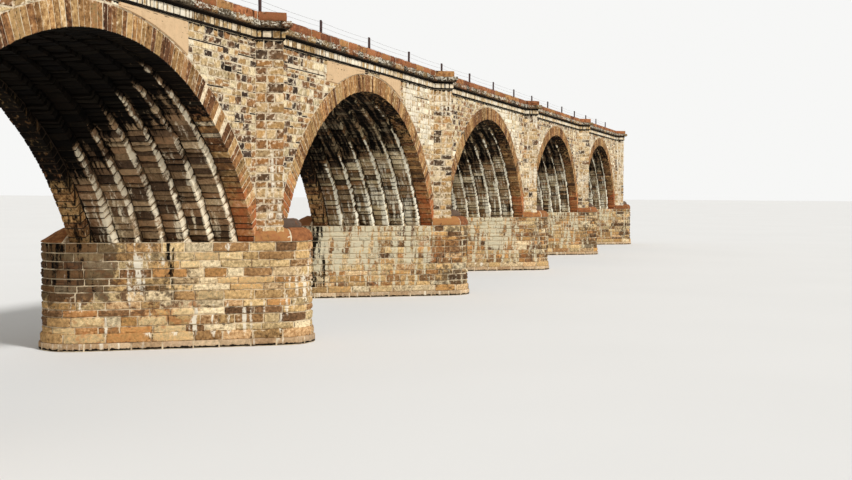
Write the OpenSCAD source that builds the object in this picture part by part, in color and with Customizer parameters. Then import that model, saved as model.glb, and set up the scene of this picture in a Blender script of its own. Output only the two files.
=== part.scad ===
// Skewed stone arch viaduct, a one-tenth scale model, in millimetres.
// The deck runs along X, the front face looks along -Y and Z is up.
// Each barrel is a set of parallel ribs. Every rib is square to the deck and is stepped sideways
// from the one before it, so that the barrel follows the skew of the piers.
// The origin is the middle of the plan at water level, and half a turn about Z leaves the bridge the same,
// apart from the cutwater caps: round with an upper cap in front, plain and sloping at the back.

/* [Bays] */
// Number of arched bays
bay_count = 5; // [2:1:6]
// Clear span of each rib at the springing
arch_span = 2410; // [2000:10:3000]
// Distance along the deck between the feet of two neighbouring spans
pier_gap = 290; // [250:1:400]
// Rise of each rib from the springing to the crown
arch_rise = 780; // [600:10:900]
// Height of the springing above the water
springing_height = 462; // [300:1:700]

/* [Ribs] */
// Number of parallel ribs in each barrel, with the two face rings
rib_count = 8; // [4:1:12]
// Width of one rib across the deck
rib_width = 85; // [60:1:120]
// Sideways step from one rib to the next
rib_step = 58; // [20:1:80]
// Depth of the ring stones
ring_depth = 95; // [70:1:120]
// Masonry over the crown of the ring
crown_cover = 19; // [5:1:60]

/* [Piers] */
// How far the pier shaft stands past the wall face, along the middle of the pier
shaft_reach = 25; // [10:1:60]
// How far the pier base stands out from the shaft
base_margin = 10; // [5:1:20]
// How far the plinth course stands out from the base
plinth_out = 9; // [3:1:20]
// Height of the plinth course
plinth_height = 38; // [20:1:60]
// How far the footing course stands out from the plinth
footing_out = 9; // [3:1:20]
// Height of the footing course above the water
footing_height = 32; // [20:1:60]
// Thickness of the plain wall that closes each end of the bridge
end_wall = 60; // [30:1:100]

/* [Cutwater caps] */
// Overhang of the lower cap past the base
cap_overhang = 4; // [0:1:10]
// Height of the lower cap
cap_height = 57; // [40:1:80]
// Rounding of the lower cap's edge
cap_round = 45; // [20:1:55]
// Height of the upper cap
hood_height = 40; // [30:1:60]
// Rounding of the upper cap's edge
hood_round = 35; // [15:1:39]
// How far the upper cap is set back from the flat top of the lower one
hood_setback = 4; // [1:1:20]
// Upright edge of the sloping cap at the back
slope_edge = 4; // [2:1:15]
// Radius of the flat top of the sloping cap
slope_top = 65; // [40:1:100]

/* [Courses over the arches] */
// Height of the pale band course
band_height = 50; // [30:1:70]
// Projection of the band from the wall face
band_out = 8; // [3:1:15]
// Height of the cornice
cornice_height = 27; // [20:1:50]
// Projection of the cornice from the wall face
cornice_out = 26; // [16:1:40]
// Height of the parapet
parapet_height = 42; // [30:1:120]
// Projection of the parapet from the wall face
parapet_out = 12; // [4:1:15]
// Thickness of the parapet
parapet_thick = 45; // [35:1:60]
// Fall of the track bed from its crown to its shoulders
bed_crown = 14; // [4:1:25]
// Width of each sloping shoulder of the track bed
bed_shoulder = 70; // [30:1:120]

/* [Railing] */
// Distance between the railing posts
post_pitch = 720; // [400:10:1000]
// Distance from the middle of the deck's length to the nearest post on its right
post_offset = 460; // [0:10:700]
// Width of a post along the deck
post_width = 13; // [8:1:20]
// Depth of a post across the deck
post_depth = 12; // [6:1:14]
// Height of a post above the parapet
post_height = 84; // [50:1:140]
// Number of wires
wire_count = 3; // [2:1:4]
// Diameter of a wire
wire_diameter = 3; // [2:0.5:4]

/* [Hidden] */
bay_length = arch_span + pier_gap;
deck_width = rib_count * rib_width;
half_width = deck_width / 2;
skew = atan(rib_step / rib_width);
arch_radius = (arch_span * arch_span / 4 + arch_rise * arch_rise) / (2 * arch_rise);
ring_radius = arch_radius + ring_depth;
arch_centre_z = springing_height + arch_rise - arch_radius;
wall_top = springing_height + arch_rise + ring_depth + crown_cover;
cornice_bottom = wall_top + band_height;
cornice_top = cornice_bottom + cornice_height;
parapet_top = cornice_top + parapet_height;
pier_length_x = pier_gap + rib_step;
pier_thick = pier_length_x * cos(skew);
shaft_half = half_width / cos(skew) + shaft_reach;
plinth_top = footing_height + plinth_height;
plinth_margin = base_margin + plinth_out;
base_radius = pier_thick / 2 + base_margin;
cap_radius = base_radius + cap_overhang;
hood_radius = cap_radius - cap_round - hood_setback;
half_reach = bay_count * bay_length / 2 + pier_length_x / 2;
far = half_reach + deck_width;
inner_wall = half_width - rib_width;
post_reach = half_reach - half_width * tan(skew) - post_width;
round_fn = 96;

function bay_x(k) = (k - (bay_count + 1) / 2) * bay_length;
function pier_x(k) = (k - 1 - bay_count / 2) * bay_length;
function rib_x(j) = ((rib_count - 1) / 2 - j) * rib_step;
function rib_y(j) = j * rib_width - half_width;

// Plan of a pier in its own axes, long side along the skew, grown by a margin at its sides.
module stadium(margin) {
    radius = pier_thick / 2 + margin;
    square([2 * radius, 2 * shaft_half], center = true);
    for (side = [-1, 1])
        translate([0, side * shaft_half])
            circle(r = radius, $fn = round_fn);
}

// Puts a plan drawn in a pier's own axes at pier k.
module at_pier(k) {
    translate([pier_x(k), 0, 0])
        rotate([0, 0, skew])
            children();
}

// Plan of the pier shafts, grown by the projection of a course.
module shaft_plan(out) {
    for (k = [1:bay_count + 1])
        at_pier(k)
            square([pier_thick + 2 * out, 2 * (shaft_half + out)], center = true);
}

// Plan between the two skewed ends of the bridge, pulled in by a distance along the deck.
module between_ends(pull = 0) {
    lean = far * tan(skew);
    x = half_reach - pull;
    polygon([[lean - x, -far], [lean + x, -far], [x - lean, far], [-x - lean, far]]);
}

// A strip of plan along the deck from one place across it to another.
module strip(y_from, y_to) {
    translate([-far, y_from])
        square([2 * far, y_to - y_from]);
}

// Extrudes an upright outline, drawn in X and Z, through the width of rib j.
module rib_slab(j) {
    translate([0, rib_y(j + 1), 0])
        rotate([90, 0, 0])
            linear_extrude(rib_y(j + 1) - rib_y(j))
                children();
}

// Outline of one ring of the arch in bay k, at rib j.
module ring_outline(k, j) {
    intersection() {
        translate([bay_x(k) + rib_x(j), arch_centre_z])
            difference() {
                circle(r = ring_radius, $fn = round_fn);
                circle(r = arch_radius, $fn = round_fn);
            }
        translate([-far, springing_height])
            square([2 * far, ring_radius]);
    }
}

// Outline of the masonry that stands on the rings at rib j.
module spandrel_outline(j) {
    difference() {
        translate([-far, springing_height])
            square([2 * far, wall_top - springing_height]);
        for (k = [1:bay_count])
            translate([bay_x(k) + rib_x(j), arch_centre_z])
                circle(r = ring_radius, $fn = round_fn);
    }
}

// One front course: straight along the wall, and broken out round every pier shaft.
module front_course(z, height, out, thick) {
    translate([0, 0, z])
        linear_extrude(height)
            intersection() {
                union() {
                    strip(-half_width - out, thick - half_width - out);
                    shaft_plan(out);
                }
                strip(-far, thick - half_width - out);
                between_ends();
            }
}

// Half profile of a cap: a block with a rounded upper edge.
module cap_profile(radius, height, rounding) {
    square([radius - rounding, height]);
    square([radius, height - rounding]);
    translate([radius - rounding, height - rounding])
        intersection() {
            circle(r = rounding, $fn = round_fn);
            square(rounding);
        }
}

// Half profile of a cap that slopes down from a flat top to a low upright edge.
module slope_profile() {
    polygon([[0, 0], [cap_radius, 0], [cap_radius, slope_edge], [slope_top, cap_height], [0, cap_height]]);
}

// Carries a half profile over a cutwater: half a turn at the nose and a straight run back along the shaft.
module over_nose() {
    translate([0, -shaft_half, 0])
        rotate_extrude($fn = round_fn)
            children();
    for (side = [0, 1])
        mirror([side, 0, 0])
            rotate([90, 0, 0])
                linear_extrude(shaft_half)
                    children();
}

// Puts caps on pier k and cuts them to stand outside the shaft and the wall.
module caps_at(k) {
    difference() {
        translate([0, 0, springing_height])
            at_pier(k)
                children();
        translate([0, 0, springing_height - 1])
            linear_extrude(cap_height + hood_height + 2) {
                shaft_plan(0);
                strip(-half_width, far);
            }
    }
}

// One course of stone under every pier.
module pier_course(z, height, margin) {
    translate([0, 0, z])
        linear_extrude(height)
            for (k = [1:bay_count + 1])
                at_pier(k)
                    stadium(margin);
}

// Pier k from its plinth to the springing, with a rounded cutwater at each end.
module pier(k) {
    color("tan")
        translate([0, 0, plinth_top])
            linear_extrude(springing_height - plinth_top)
                at_pier(k)
                    stadium(base_margin);
}

// The footing course that every pier stands on at the water line.
module pier_footings() {
    color("gainsboro")
        pier_course(0, footing_height, plinth_margin + footing_out);
}

// The course of larger stones between each footing and its pier.
module pier_plinths() {
    color("goldenrod")
        pier_course(footing_height, plinth_height, plinth_margin);
}

module cutwater_caps_front() {
    color("sienna")
        for (k = [1:bay_count + 1])
            caps_at(k) {
                over_nose()
                    cap_profile(cap_radius, cap_height, cap_round);
                translate([0, 0, cap_height])
                    over_nose()
                        cap_profile(hood_radius, hood_height, hood_round);
            }
}

module cutwater_caps_back() {
    color("saddlebrown")
        rotate([0, 0, 180])
            for (k = [1:bay_count + 1])
                caps_at(k)
                    over_nose()
                        slope_profile();
}

module arch_ring_front(k) {
    color("burlywood")
        rib_slab(0)
            ring_outline(k, 0);
}

module arch_barrel(k) {
    color("peru")
        for (j = [1:rib_count - 2])
            rib_slab(j)
                ring_outline(k, j);
}

module arch_ring_back(k) {
    color("burlywood")
        rib_slab(rib_count - 1)
            ring_outline(k, rib_count - 1);
}

// The part of every pier shaft that stands out of the front wall, up to the band.
module pilasters_front() {
    color("wheat")
        translate([0, 0, springing_height])
            linear_extrude(wall_top - springing_height)
                intersection() {
                    shaft_plan(0);
                    strip(-far, -half_width);
                    between_ends();
                }
}

module pilasters_back() {
    rotate([0, 0, 180])
        pilasters_front();
}

module spandrel_front() {
    color("wheat")
        intersection() {
            rib_slab(0)
                spandrel_outline(0);
            linear_extrude(parapet_top)
                between_ends();
        }
}

module spandrel_back() {
    rotate([0, 0, 180])
        spandrel_front();
}

// The plain wall that closes the right end between the two spandrels.
module end_wall_right() {
    color("tan")
        translate([0, 0, springing_height])
            linear_extrude(wall_top - springing_height)
                difference() {
                    intersection() {
                        between_ends();
                        translate([0, -inner_wall])
                            square([far, 2 * inner_wall]);
                    }
                    between_ends(end_wall / cos(skew));
                }
}

module end_wall_left() {
    rotate([0, 0, 180])
        end_wall_right();
}

// The rubble core between the spandrels, over the barrels.
module core_fill() {
    color("darkkhaki")
        intersection() {
            for (j = [1:rib_count - 2])
                rib_slab(j)
                    spandrel_outline(j);
            linear_extrude(parapet_top)
                between_ends(end_wall / cos(skew));
        }
}

// The stone bed that fills the deck between the courses, with sloping shoulders.
module track_bed() {
    color("dimgray")
        intersection() {
            rotate([90, 0, 90])
                translate([0, 0, -far])
                    linear_extrude(2 * far)
                        polygon([
                            [-inner_wall, wall_top],
                            [inner_wall, wall_top],
                            [inner_wall, cornice_top],
                            [inner_wall - bed_shoulder, cornice_top + bed_crown],
                            [bed_shoulder - inner_wall, cornice_top + bed_crown],
                            [-inner_wall, cornice_top]
                        ]);
            linear_extrude(parapet_top)
                between_ends();
        }
}

module band_front() {
    color("linen")
        front_course(wall_top, band_height, band_out, rib_width + band_out);
}

module band_back() {
    rotate([0, 0, 180])
        band_front();
}

module cornice_front() {
    color("darkolivegreen")
        front_course(cornice_bottom, cornice_height, cornice_out, rib_width + cornice_out);
}

module cornice_back() {
    rotate([0, 0, 180])
        cornice_front();
}

module parapet_front() {
    color("indianred")
        front_course(cornice_top, parapet_height, parapet_out, parapet_thick);
}

module parapet_back() {
    rotate([0, 0, 180])
        parapet_front();
}

// Posts on the cornice behind the parapet, with the wires that run through them.
module railing_front() {
    post_y = parapet_thick - half_width - parapet_out;
    wire_gap = post_height / (wire_count + 0.5);
    first = ceil((-post_reach - post_offset) / post_pitch);
    last = floor((post_reach - post_offset) / post_pitch);
    color("saddlebrown") {
        for (i = [first:last])
            translate([post_offset + i * post_pitch - post_width / 2, post_y, cornice_top])
                cube([post_width, post_depth, parapet_height + post_height]);
        for (w = [1:wire_count])
            translate([post_offset + first * post_pitch, post_y + post_depth / 2, parapet_top + w * wire_gap])
                rotate([0, 90, 0])
                    cylinder(d = wire_diameter, h = (last - first) * post_pitch, $fn = 16);
    }
}

module railing_back() {
    rotate([0, 0, 180])
        railing_front();
}

for (k = [1:bay_count + 1])
    pier(k);
pier_footings();
pier_plinths();
cutwater_caps_front();
cutwater_caps_back();
for (k = [1:bay_count])
    arch_ring_front(k);
for (k = [1:bay_count])
    arch_barrel(k);
for (k = [1:bay_count])
    arch_ring_back(k);
pilasters_front();
pilasters_back();
spandrel_front();
spandrel_back();
end_wall_left();
end_wall_right();
core_fill();
track_bed();
band_front();
band_back();
cornice_front();
cornice_back();
parapet_front();
parapet_back();
railing_front();
railing_back();
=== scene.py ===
import logging
import math
from dataclasses import dataclass, field, replace
from enum import IntEnum, StrEnum
from functools import partial
from typing import Callable, Optional, Sequence

import bpy
import numpy as np
from mathutils import Matrix, Vector


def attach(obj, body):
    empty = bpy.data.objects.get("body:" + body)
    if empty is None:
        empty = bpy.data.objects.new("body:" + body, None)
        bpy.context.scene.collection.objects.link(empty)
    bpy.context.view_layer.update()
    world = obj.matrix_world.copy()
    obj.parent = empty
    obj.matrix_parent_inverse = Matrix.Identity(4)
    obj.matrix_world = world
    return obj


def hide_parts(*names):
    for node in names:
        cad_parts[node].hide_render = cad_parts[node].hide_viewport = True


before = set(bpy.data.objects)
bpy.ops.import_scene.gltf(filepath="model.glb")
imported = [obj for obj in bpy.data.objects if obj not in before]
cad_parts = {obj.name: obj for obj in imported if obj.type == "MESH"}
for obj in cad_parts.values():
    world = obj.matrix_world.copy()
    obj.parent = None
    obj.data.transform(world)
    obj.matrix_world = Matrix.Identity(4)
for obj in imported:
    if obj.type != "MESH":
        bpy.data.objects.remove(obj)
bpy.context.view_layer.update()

LOG = logging.getLogger("viaduct")
Array = np.ndarray
Colour = tuple[int, int, int]
Material = bpy.types.Material


class Side(StrEnum):
    """The two long sides of the viaduct."""

    FRONT = "front"
    BACK = "back"

    @property
    def turn(self) -> Array:
        """Signs of X, Y and Z on this side: the back is the front after half a turn."""
        return np.array([1, 1, 1] if self == Side.FRONT else [-1, -1, 1])


class Layer(StrEnum):
    """The two point attributes that carry the looks of each stone."""

    STONE = "stone"
    STAIN = "stain"


class Seed(IntEnum):
    """Starts of the random draws, where rings, ribs and bases add their number."""

    GRAIN = 11
    WALL = 101
    PILASTER = 102
    END = 103
    FRONT_RING = 200
    BACK_RING = 220
    BARREL = 300
    BASE = 400
    PLINTH = 501
    FOOTING = 502
    CAP = 503
    BAND = 601
    CORNICE = 602
    PARAPET = 603
    RAILING = 604


@dataclass(frozen=True)
class Sizes:
    """Sizes of the viaduct in metres, named as on its working drawing."""

    bays: int = 5
    span: float = 2.41
    gap: float = 0.29
    rise: float = 0.78
    springing: float = 0.462
    ribs: int = 8
    rib: float = 0.085
    step: float = 0.058
    ring: float = 0.095
    cover: float = 0.019
    reach: float = 0.025
    base_out: float = 0.01
    plinth_out: float = 0.009
    plinth_high: float = 0.038
    footing_out: float = 0.009
    footing_high: float = 0.032
    cap_out: float = 0.004
    cap_high: float = 0.057
    cap_round: float = 0.045
    hood_high: float = 0.04
    hood_round: float = 0.035
    hood_back: float = 0.004
    slope_edge: float = 0.004
    slope_top: float = 0.065
    band_high: float = 0.05
    band_out: float = 0.008
    cornice_high: float = 0.027
    cornice_out: float = 0.026
    parapet_high: float = 0.042
    parapet_out: float = 0.012
    parapet_thick: float = 0.045
    bed_crown: float = 0.014
    bed_shoulder: float = 0.07

    @property
    def bay(self) -> float:
        """Length of one bay along the deck."""
        return self.span + self.gap

    @property
    def half_width(self) -> float:
        """Half the width between the two wall faces."""
        return self.ribs * self.rib / 2

    @property
    def skew(self) -> float:
        """Angle in radians between the piers and a line square to the deck."""
        return math.atan(self.step / self.rib)

    @property
    def turn(self) -> tuple[float, float]:
        """Cosine and sine of the skew."""
        return math.cos(self.skew), math.sin(self.skew)

    @property
    def all_bays(self) -> range:
        """Numbers of the bays, from 1 at the left."""
        return range(1, self.bays + 1)

    @property
    def all_piers(self) -> range:
        """Numbers of the piers, from 1 at the left."""
        return range(1, self.bays + 2)

    @property
    def radius(self) -> float:
        """Radius of the intrados: (half span squared + rise squared) / (2 rise)."""
        return (self.span**2 / 4 + self.rise**2) / (2 * self.rise)

    @property
    def centre_z(self) -> float:
        """Height of the arch centre above the water."""
        return self.springing + self.rise - self.radius

    @property
    def wall_top(self) -> float:
        """Height of the top of the spandrel walls."""
        return self.springing + self.rise + self.ring + self.cover

    @property
    def cornice_bottom(self) -> float:
        """Height of the underside of the cornice."""
        return self.wall_top + self.band_high

    @property
    def cornice_top(self) -> float:
        """Height of the top of the cornice."""
        return self.cornice_bottom + self.cornice_high

    @property
    def parapet_top(self) -> float:
        """Height of the top of the parapet."""
        return self.cornice_top + self.parapet_high

    @property
    def shaft(self) -> tuple[float, float]:
        """Half sizes of a pier shaft, across and along its own long side."""
        thick = (self.gap + self.step) * math.cos(self.skew)
        return thick / 2, self.half_width / math.cos(self.skew) + self.reach

    @property
    def half_reach(self) -> float:
        """Half the length of the bridge along its middle line."""
        return self.bays * self.bay / 2 + (self.gap + self.step) / 2

    @property
    def inner_wall(self) -> float:
        """Distance from the middle line to the inside of a spandrel wall."""
        return self.half_width - self.rib

    def bay_x(self, k: int) -> float:
        """Middle of bay k, counted from 1 at the left."""
        return (k - (self.bays + 1) / 2) * self.bay

    def pier_x(self, k: int) -> float:
        """Middle of pier k, counted from 1 at the left."""
        return (k - 1 - self.bays / 2) * self.bay

    def rib_x(self, j: int) -> float:
        """Sideways place of rib j, counted from 0 at the front."""
        return ((self.ribs - 1) / 2 - j) * self.step

    def rib_y(self, j: int) -> float:
        """Front face of rib j."""
        return j * self.rib - self.half_width

    def crown_x(self, k: int) -> float:
        """Crown of the face ring of bay k."""
        return self.bay_x(k) + self.rib_x(0)

    def foot_angle(self, radius: float) -> float:
        """Angle from the crown at which an arch line of this radius meets the springing."""
        return math.acos((self.springing - self.centre_z) / radius)

    def risen(self, z: Array) -> Array:
        """Height as a share of the rise, from 0 at the springing to 1 at the crown."""
        return (z - self.springing) / self.rise

    def end_x(self, side: int, y: float) -> float:
        """Place along the deck of the left (-1) or right (+1) end face at depth y."""
        return side * self.half_reach - y * math.tan(self.skew)

    def at_pier(self, k: int, across: float, along: float) -> tuple[float, float]:
        """Turns a point in the axes of pier k by the skew and moves it to the pier.

        Args:
            k: Number of the pier.
            across: Place across the pier's long side.
            along: Place along the pier's long side.

        Returns:
            The point in plan.
        """
        cos, sin = self.turn
        return self.pier_x(k) + across * cos - along * sin, across * sin + along * cos


SIZE = Sizes()
NEAR_PIERS = 2


@dataclass
class Grain:
    """Smooth seeded randomness in space, between 0 and 1."""

    seed: int
    cells: int = 24
    offset: float = 97.3

    def __post_init__(self) -> None:
        """Fills a cubic lattice with random numbers from the seed."""
        self.table = np.random.default_rng(self.seed).random((self.cells,) * 3)

    def at(self, points: Array, size: Sequence[float]) -> Array:
        """Value noise: the lattice blended between its eight nearest corners by smoothstep.

        Args:
            points: Points, the last axis X, Y, Z.
            size: Size of one lattice cell along X, Y and Z.

        Returns:
            One value for each point.
        """
        place = points / np.asarray(size) + self.offset
        cell = np.floor(place).astype(int)
        part = place - cell
        part = part * part * (3 - 2 * part)
        total = np.zeros(points.shape[:-1])
        for corner in np.ndindex(2, 2, 2):
            shift = np.array(corner)
            weight = np.prod(np.where(shift, part, 1 - part), axis=-1)
            index = (cell + shift) % self.cells
            total += weight * self.table[index[..., 0], index[..., 1], index[..., 2]]
        return total


def ease(value: Array, low: float, high: float) -> Array:
    """Smoothstep: 0 below low, 1 above high, and 3t^2 - 2t^3 between them.

    Args:
        value: Values to ease.
        low: Where the rise starts.
        high: Where the rise ends.

    Returns:
        Values between 0 and 1.
    """
    part = np.clip((value - low) / (high - low), 0, 1)
    return part * part * (3 - 2 * part)


@dataclass
class Trace:
    """A line in plan with its length, its points and its outward directions."""

    along: Array
    points: Array
    outward: Array
    corners: Array
    bends: Array
    closed: bool = False

    @classmethod
    def through(cls, points: Sequence[tuple[float, float]]) -> "Trace":
        """Straight runs between points, outward on the right, mitred at each corner.

        The mitre is (n1 + n2) / (1 + n1 . n2), for the outward directions of the two runs.

        Args:
            points: Ends and corners of the line.

        Returns:
            The line, with a helper point on either side of each corner.
        """
        given = np.array(points, dtype=float)
        run = np.diff(given, axis=0)
        length = np.linalg.norm(run, axis=1)
        unit = run / length[:, None]
        normal = np.stack([unit[:, 1], -unit[:, 0]], axis=1)
        reached = np.concatenate([[0], np.cumsum(length)])
        beside = 0.0012
        along, spots, outward = [0.0], [given[0]], [normal[0]]
        corners, bends = [], []
        for i in range(1, len(run)):
            mitre = (normal[i - 1] + normal[i]) / (1 + normal[i - 1] @ normal[i])
            for shift, direction in ((-beside, normal[i - 1]), (0, mitre), (beside, normal[i])):
                leg = unit[i - 1] if shift < 0 else unit[i]
                along.append(reached[i] + shift)
                spots.append(given[i] + shift * leg)
                outward.append(direction)
            left = unit[i - 1, 0] * unit[i, 1] - unit[i - 1, 1] * unit[i, 0] > 0
            (corners if left else bends).append(reached[i])
        along.append(reached[-1])
        spots.append(given[-1])
        outward.append(normal[-1])
        return cls(np.array(along), np.array(spots), np.array(outward), np.array(corners),
                   np.array(bends))

    @classmethod
    def round_ended(cls, k: int, margin: float, turns: int = 24) -> "Trace":
        """The plan of pier k: two straight sides and a half circle at each nose, closed.

        Args:
            k: Number of the pier.
            margin: Distance outside the shaft's own sides.
            turns: Number of steps in each half circle.

        Returns:
            The closed line, anticlockwise from the middle of the front nose.
        """
        half, reach = SIZE.shaft
        radius = half + margin
        quarter = np.linspace(0, math.pi / 2, turns // 2 + 1)
        angles = np.concatenate([quarter - math.pi / 2, quarter, quarter + math.pi / 2,
                                 quarter + math.pi])
        nose = np.repeat([-1, 1, 1, -1], len(quarter)) * reach
        local = np.stack([radius * np.cos(angles), nose + radius * np.sin(angles)], axis=1)
        facing = np.stack([np.cos(angles), np.sin(angles)], axis=1)
        keep = np.concatenate([[True], np.linalg.norm(np.diff(local, axis=0), axis=1) > 1e-9])
        local, facing = local[keep], facing[keep]
        cos, sin = SIZE.turn
        turn = np.array([[cos, sin], [-sin, cos]])
        points = local @ turn + [SIZE.pier_x(k), 0]
        steps = np.linalg.norm(np.diff(points, axis=0), axis=1)
        along = np.concatenate([[0], np.cumsum(steps)])
        return cls(along, points, facing @ turn, np.array([]), np.array([]), True)

    @property
    def length(self) -> float:
        """Length of the whole line."""
        return float(self.along[-1])

    def at(self, u: Array) -> tuple[Array, Array]:
        """Points and outward directions, straight between the given ones.

        Args:
            u: Lengths along the line.

        Returns:
            The points and the directions, X and Y on the last axis.
        """
        if self.closed:
            u = u % self.length
        spot = np.stack([np.interp(u, self.along, self.points[:, i]) for i in (0, 1)], axis=-1)
        out = np.stack([np.interp(u, self.along, self.outward[:, i]) for i in (0, 1)], axis=-1)
        return spot, out


@dataclass
class WallFace:
    """An upright face: u runs along a line in plan and v is the height."""

    trace: Trace
    flip: bool = False

    def place(self, u: Array, v: Array, h: Array) -> Array:
        """Point = line(u) + outward(u) h, at height v.

        Args:
            u: Length along the line.
            v: Height.
            h: Distance out of the face.

        Returns:
            The points.
        """
        spot, out = self.trace.at(u)
        flat = spot + out * h[..., None]
        return np.concatenate([flat, v[..., None]], axis=-1)


@dataclass
class CourseFace:
    """The front, top and back of a course: v is the height, then 1 for the top and for the back."""

    trace: Trace
    bottom: float
    high: float
    back_y: float
    flip: bool = False
    lead: float = 0.15
    clear: float = 0.001

    def place(self, u: Array, v: Array, h: Array) -> Array:
        """Front: line(u) + outward(u) h at height v. Top: straight to the back line, then down.

        Over the lead at the left, the back line slides out to the skewed end of the bridge.

        Args:
            u: Length along the line.
            v: Height on the front, or the height of the course plus the share of the top and back.
            h: Distance out of the face.

        Returns:
            The points.
        """
        spot, out = self.trace.at(u)
        over = np.clip(v - self.high, 0, 1)
        front = spot + out * h[..., None]
        end = np.clip(1 - u / self.lead, 0, 1) * (self.back_y - spot[..., 1]) * math.tan(SIZE.skew)
        right = SIZE.end_x(1, self.back_y) - self.clear
        back_x = np.minimum(spot[..., 0] - end, right)
        x = front[..., 0] * (1 - over) + back_x * over
        behind = v > self.high + 0.999
        y = front[..., 1] * (1 - over) + self.back_y * over + h * behind
        level = np.minimum(v, self.high) - self.high * np.clip(v - self.high - 1, 0, 1)
        z = self.bottom + level + h * ((v >= self.high - 1e-9) & (v < self.high + 1.001))
        return np.stack([x, y, z], axis=-1)


@dataclass
class ArchFace:
    """The front (v 0-1), soffit (1-2) and back (2-3) of one rib; u is the angle from the crown."""

    middle: float
    front_y: float
    face: float = 0.0
    depth: float = SIZE.rib
    flip: bool = True

    def place(self, u: Array, v: Array, h: Array) -> Array:
        """x = middle + r sin u, z = centre + r cos u, with r from the part of the profile.

        The front face is `face` deep, or as deep as the rib steps out past its neighbour there:
        step sin u - step^2 cos^2 u / (2 radius). The back face follows the same rule on the left.

        Args:
            u: Angle from the crown in radians, to the right.
            v: Place along the profile.
            h: Distance out of the face.

        Returns:
            The points.
        """
        slack = SIZE.step**2 * np.cos(u)**2 / (2 * SIZE.radius)
        front = self.face if self.face else np.maximum(SIZE.step * np.sin(u) - slack, 0)
        back = np.maximum(-SIZE.step * np.sin(u) - slack, 0)
        r = SIZE.radius + front * (1 - np.clip(v, 0, 1)) + back * np.clip(v - 2, 0, 1)
        r = r - h * ((v > 0.999) & (v < 2.001))
        y = self.front_y + self.depth * np.clip(v - 1, 0, 1) - h * (v < 1.001) + h * (v > 1.999)
        limit = np.arccos((SIZE.springing - SIZE.centre_z) / r)
        angle = np.clip(u, -limit, limit)
        x = self.middle + r * np.sin(angle)
        z = SIZE.centre_z + r * np.cos(angle)
        return np.stack([x, y, z], axis=-1)


@dataclass
class Profile:
    """Half profile of a cap or a heavy course: how far in and up it is, and which way it faces."""

    marks: Array
    inward: Array
    rise: Array
    facing_out: Array
    facing_up: Array

    @classmethod
    def rounded(cls, high: float, rounding: float, reach: float) -> "Profile":
        """Upright (marks 0-1), a quarter circle (1-2) and flat inwards (2-3).

        Args:
            high: Height of the cap.
            rounding: Radius of its upper edge.
            reach: How far its flat top goes in.

        Returns:
            The profile.
        """
        turn = np.linspace(0, math.pi / 2, 9)
        marks = np.concatenate([[0], 1 + np.linspace(0, 1, 9), [3]])
        inward = np.concatenate([[0], rounding * (1 - np.cos(turn)), [rounding + reach]])
        rise = np.concatenate([[0], high - rounding + rounding * np.sin(turn), [high]])
        out = np.concatenate([[1], np.cos(turn), [0]])
        up = np.concatenate([[0], np.sin(turn), [1]])
        return cls(marks, inward, rise, out, up)

    @classmethod
    def sloped(cls, edge: float, high: float, run: float, reach: float) -> "Profile":
        """A low upright edge (marks 0-1), a straight slope (1-2) and flat inwards (2-3).

        Args:
            edge: Height of the upright edge.
            high: Height of the cap.
            run: How far in the slope goes.
            reach: How far the flat top goes in.

        Returns:
            The profile.
        """
        angle = math.atan2(high - edge, run)
        out, up = math.sin(angle), math.cos(angle)
        marks = np.array([0, 0.98, 1, 2, 2.02, 3])
        inward = np.array([0, 0, 0, run, run, run + reach])
        rise = np.array([0, edge, edge, high, high, high])
        return cls(marks, inward, rise, np.array([1, 1, out, out, 0, 0]),
                   np.array([0, 0, up, up, 1, 1]))


@dataclass
class CapFace:
    """A profile carried round a nose: u runs along the nose and v along the profile's marks."""

    trace: Trace
    bottom: float
    profile: Profile
    flip: bool = False

    def place(self, u: Array, v: Array, h: Array) -> Array:
        """Point = line(u) - outward(u) inward(v), at height rise(v), plus h along the facing.

        Args:
            u: Length along the line.
            v: Place along the profile.
            h: Distance out of the face.

        Returns:
            The points.
        """
        form = self.profile
        inward, rise, out, up = (np.interp(v, form.marks, values) for values in
                                 (form.inward, form.rise, form.facing_out, form.facing_up))
        spot, outward = self.trace.at(u)
        flat = spot + outward * (h * out - inward)[..., None]
        return np.concatenate([flat, (self.bottom + rise + h * up)[..., None]], axis=-1)


Profiled = ArchFace | CapFace | CourseFace


@dataclass(frozen=True)
class Cut:
    """How the stones of a piece are cut: their joints, edges and faces, in metres."""

    joint: float
    bevel: float
    proud: float
    rough: float
    sink: float = 0.001
    tilt: float = 0.0
    jump: float = 0.0
    columns: int = 1
    rows: int = 1


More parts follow.
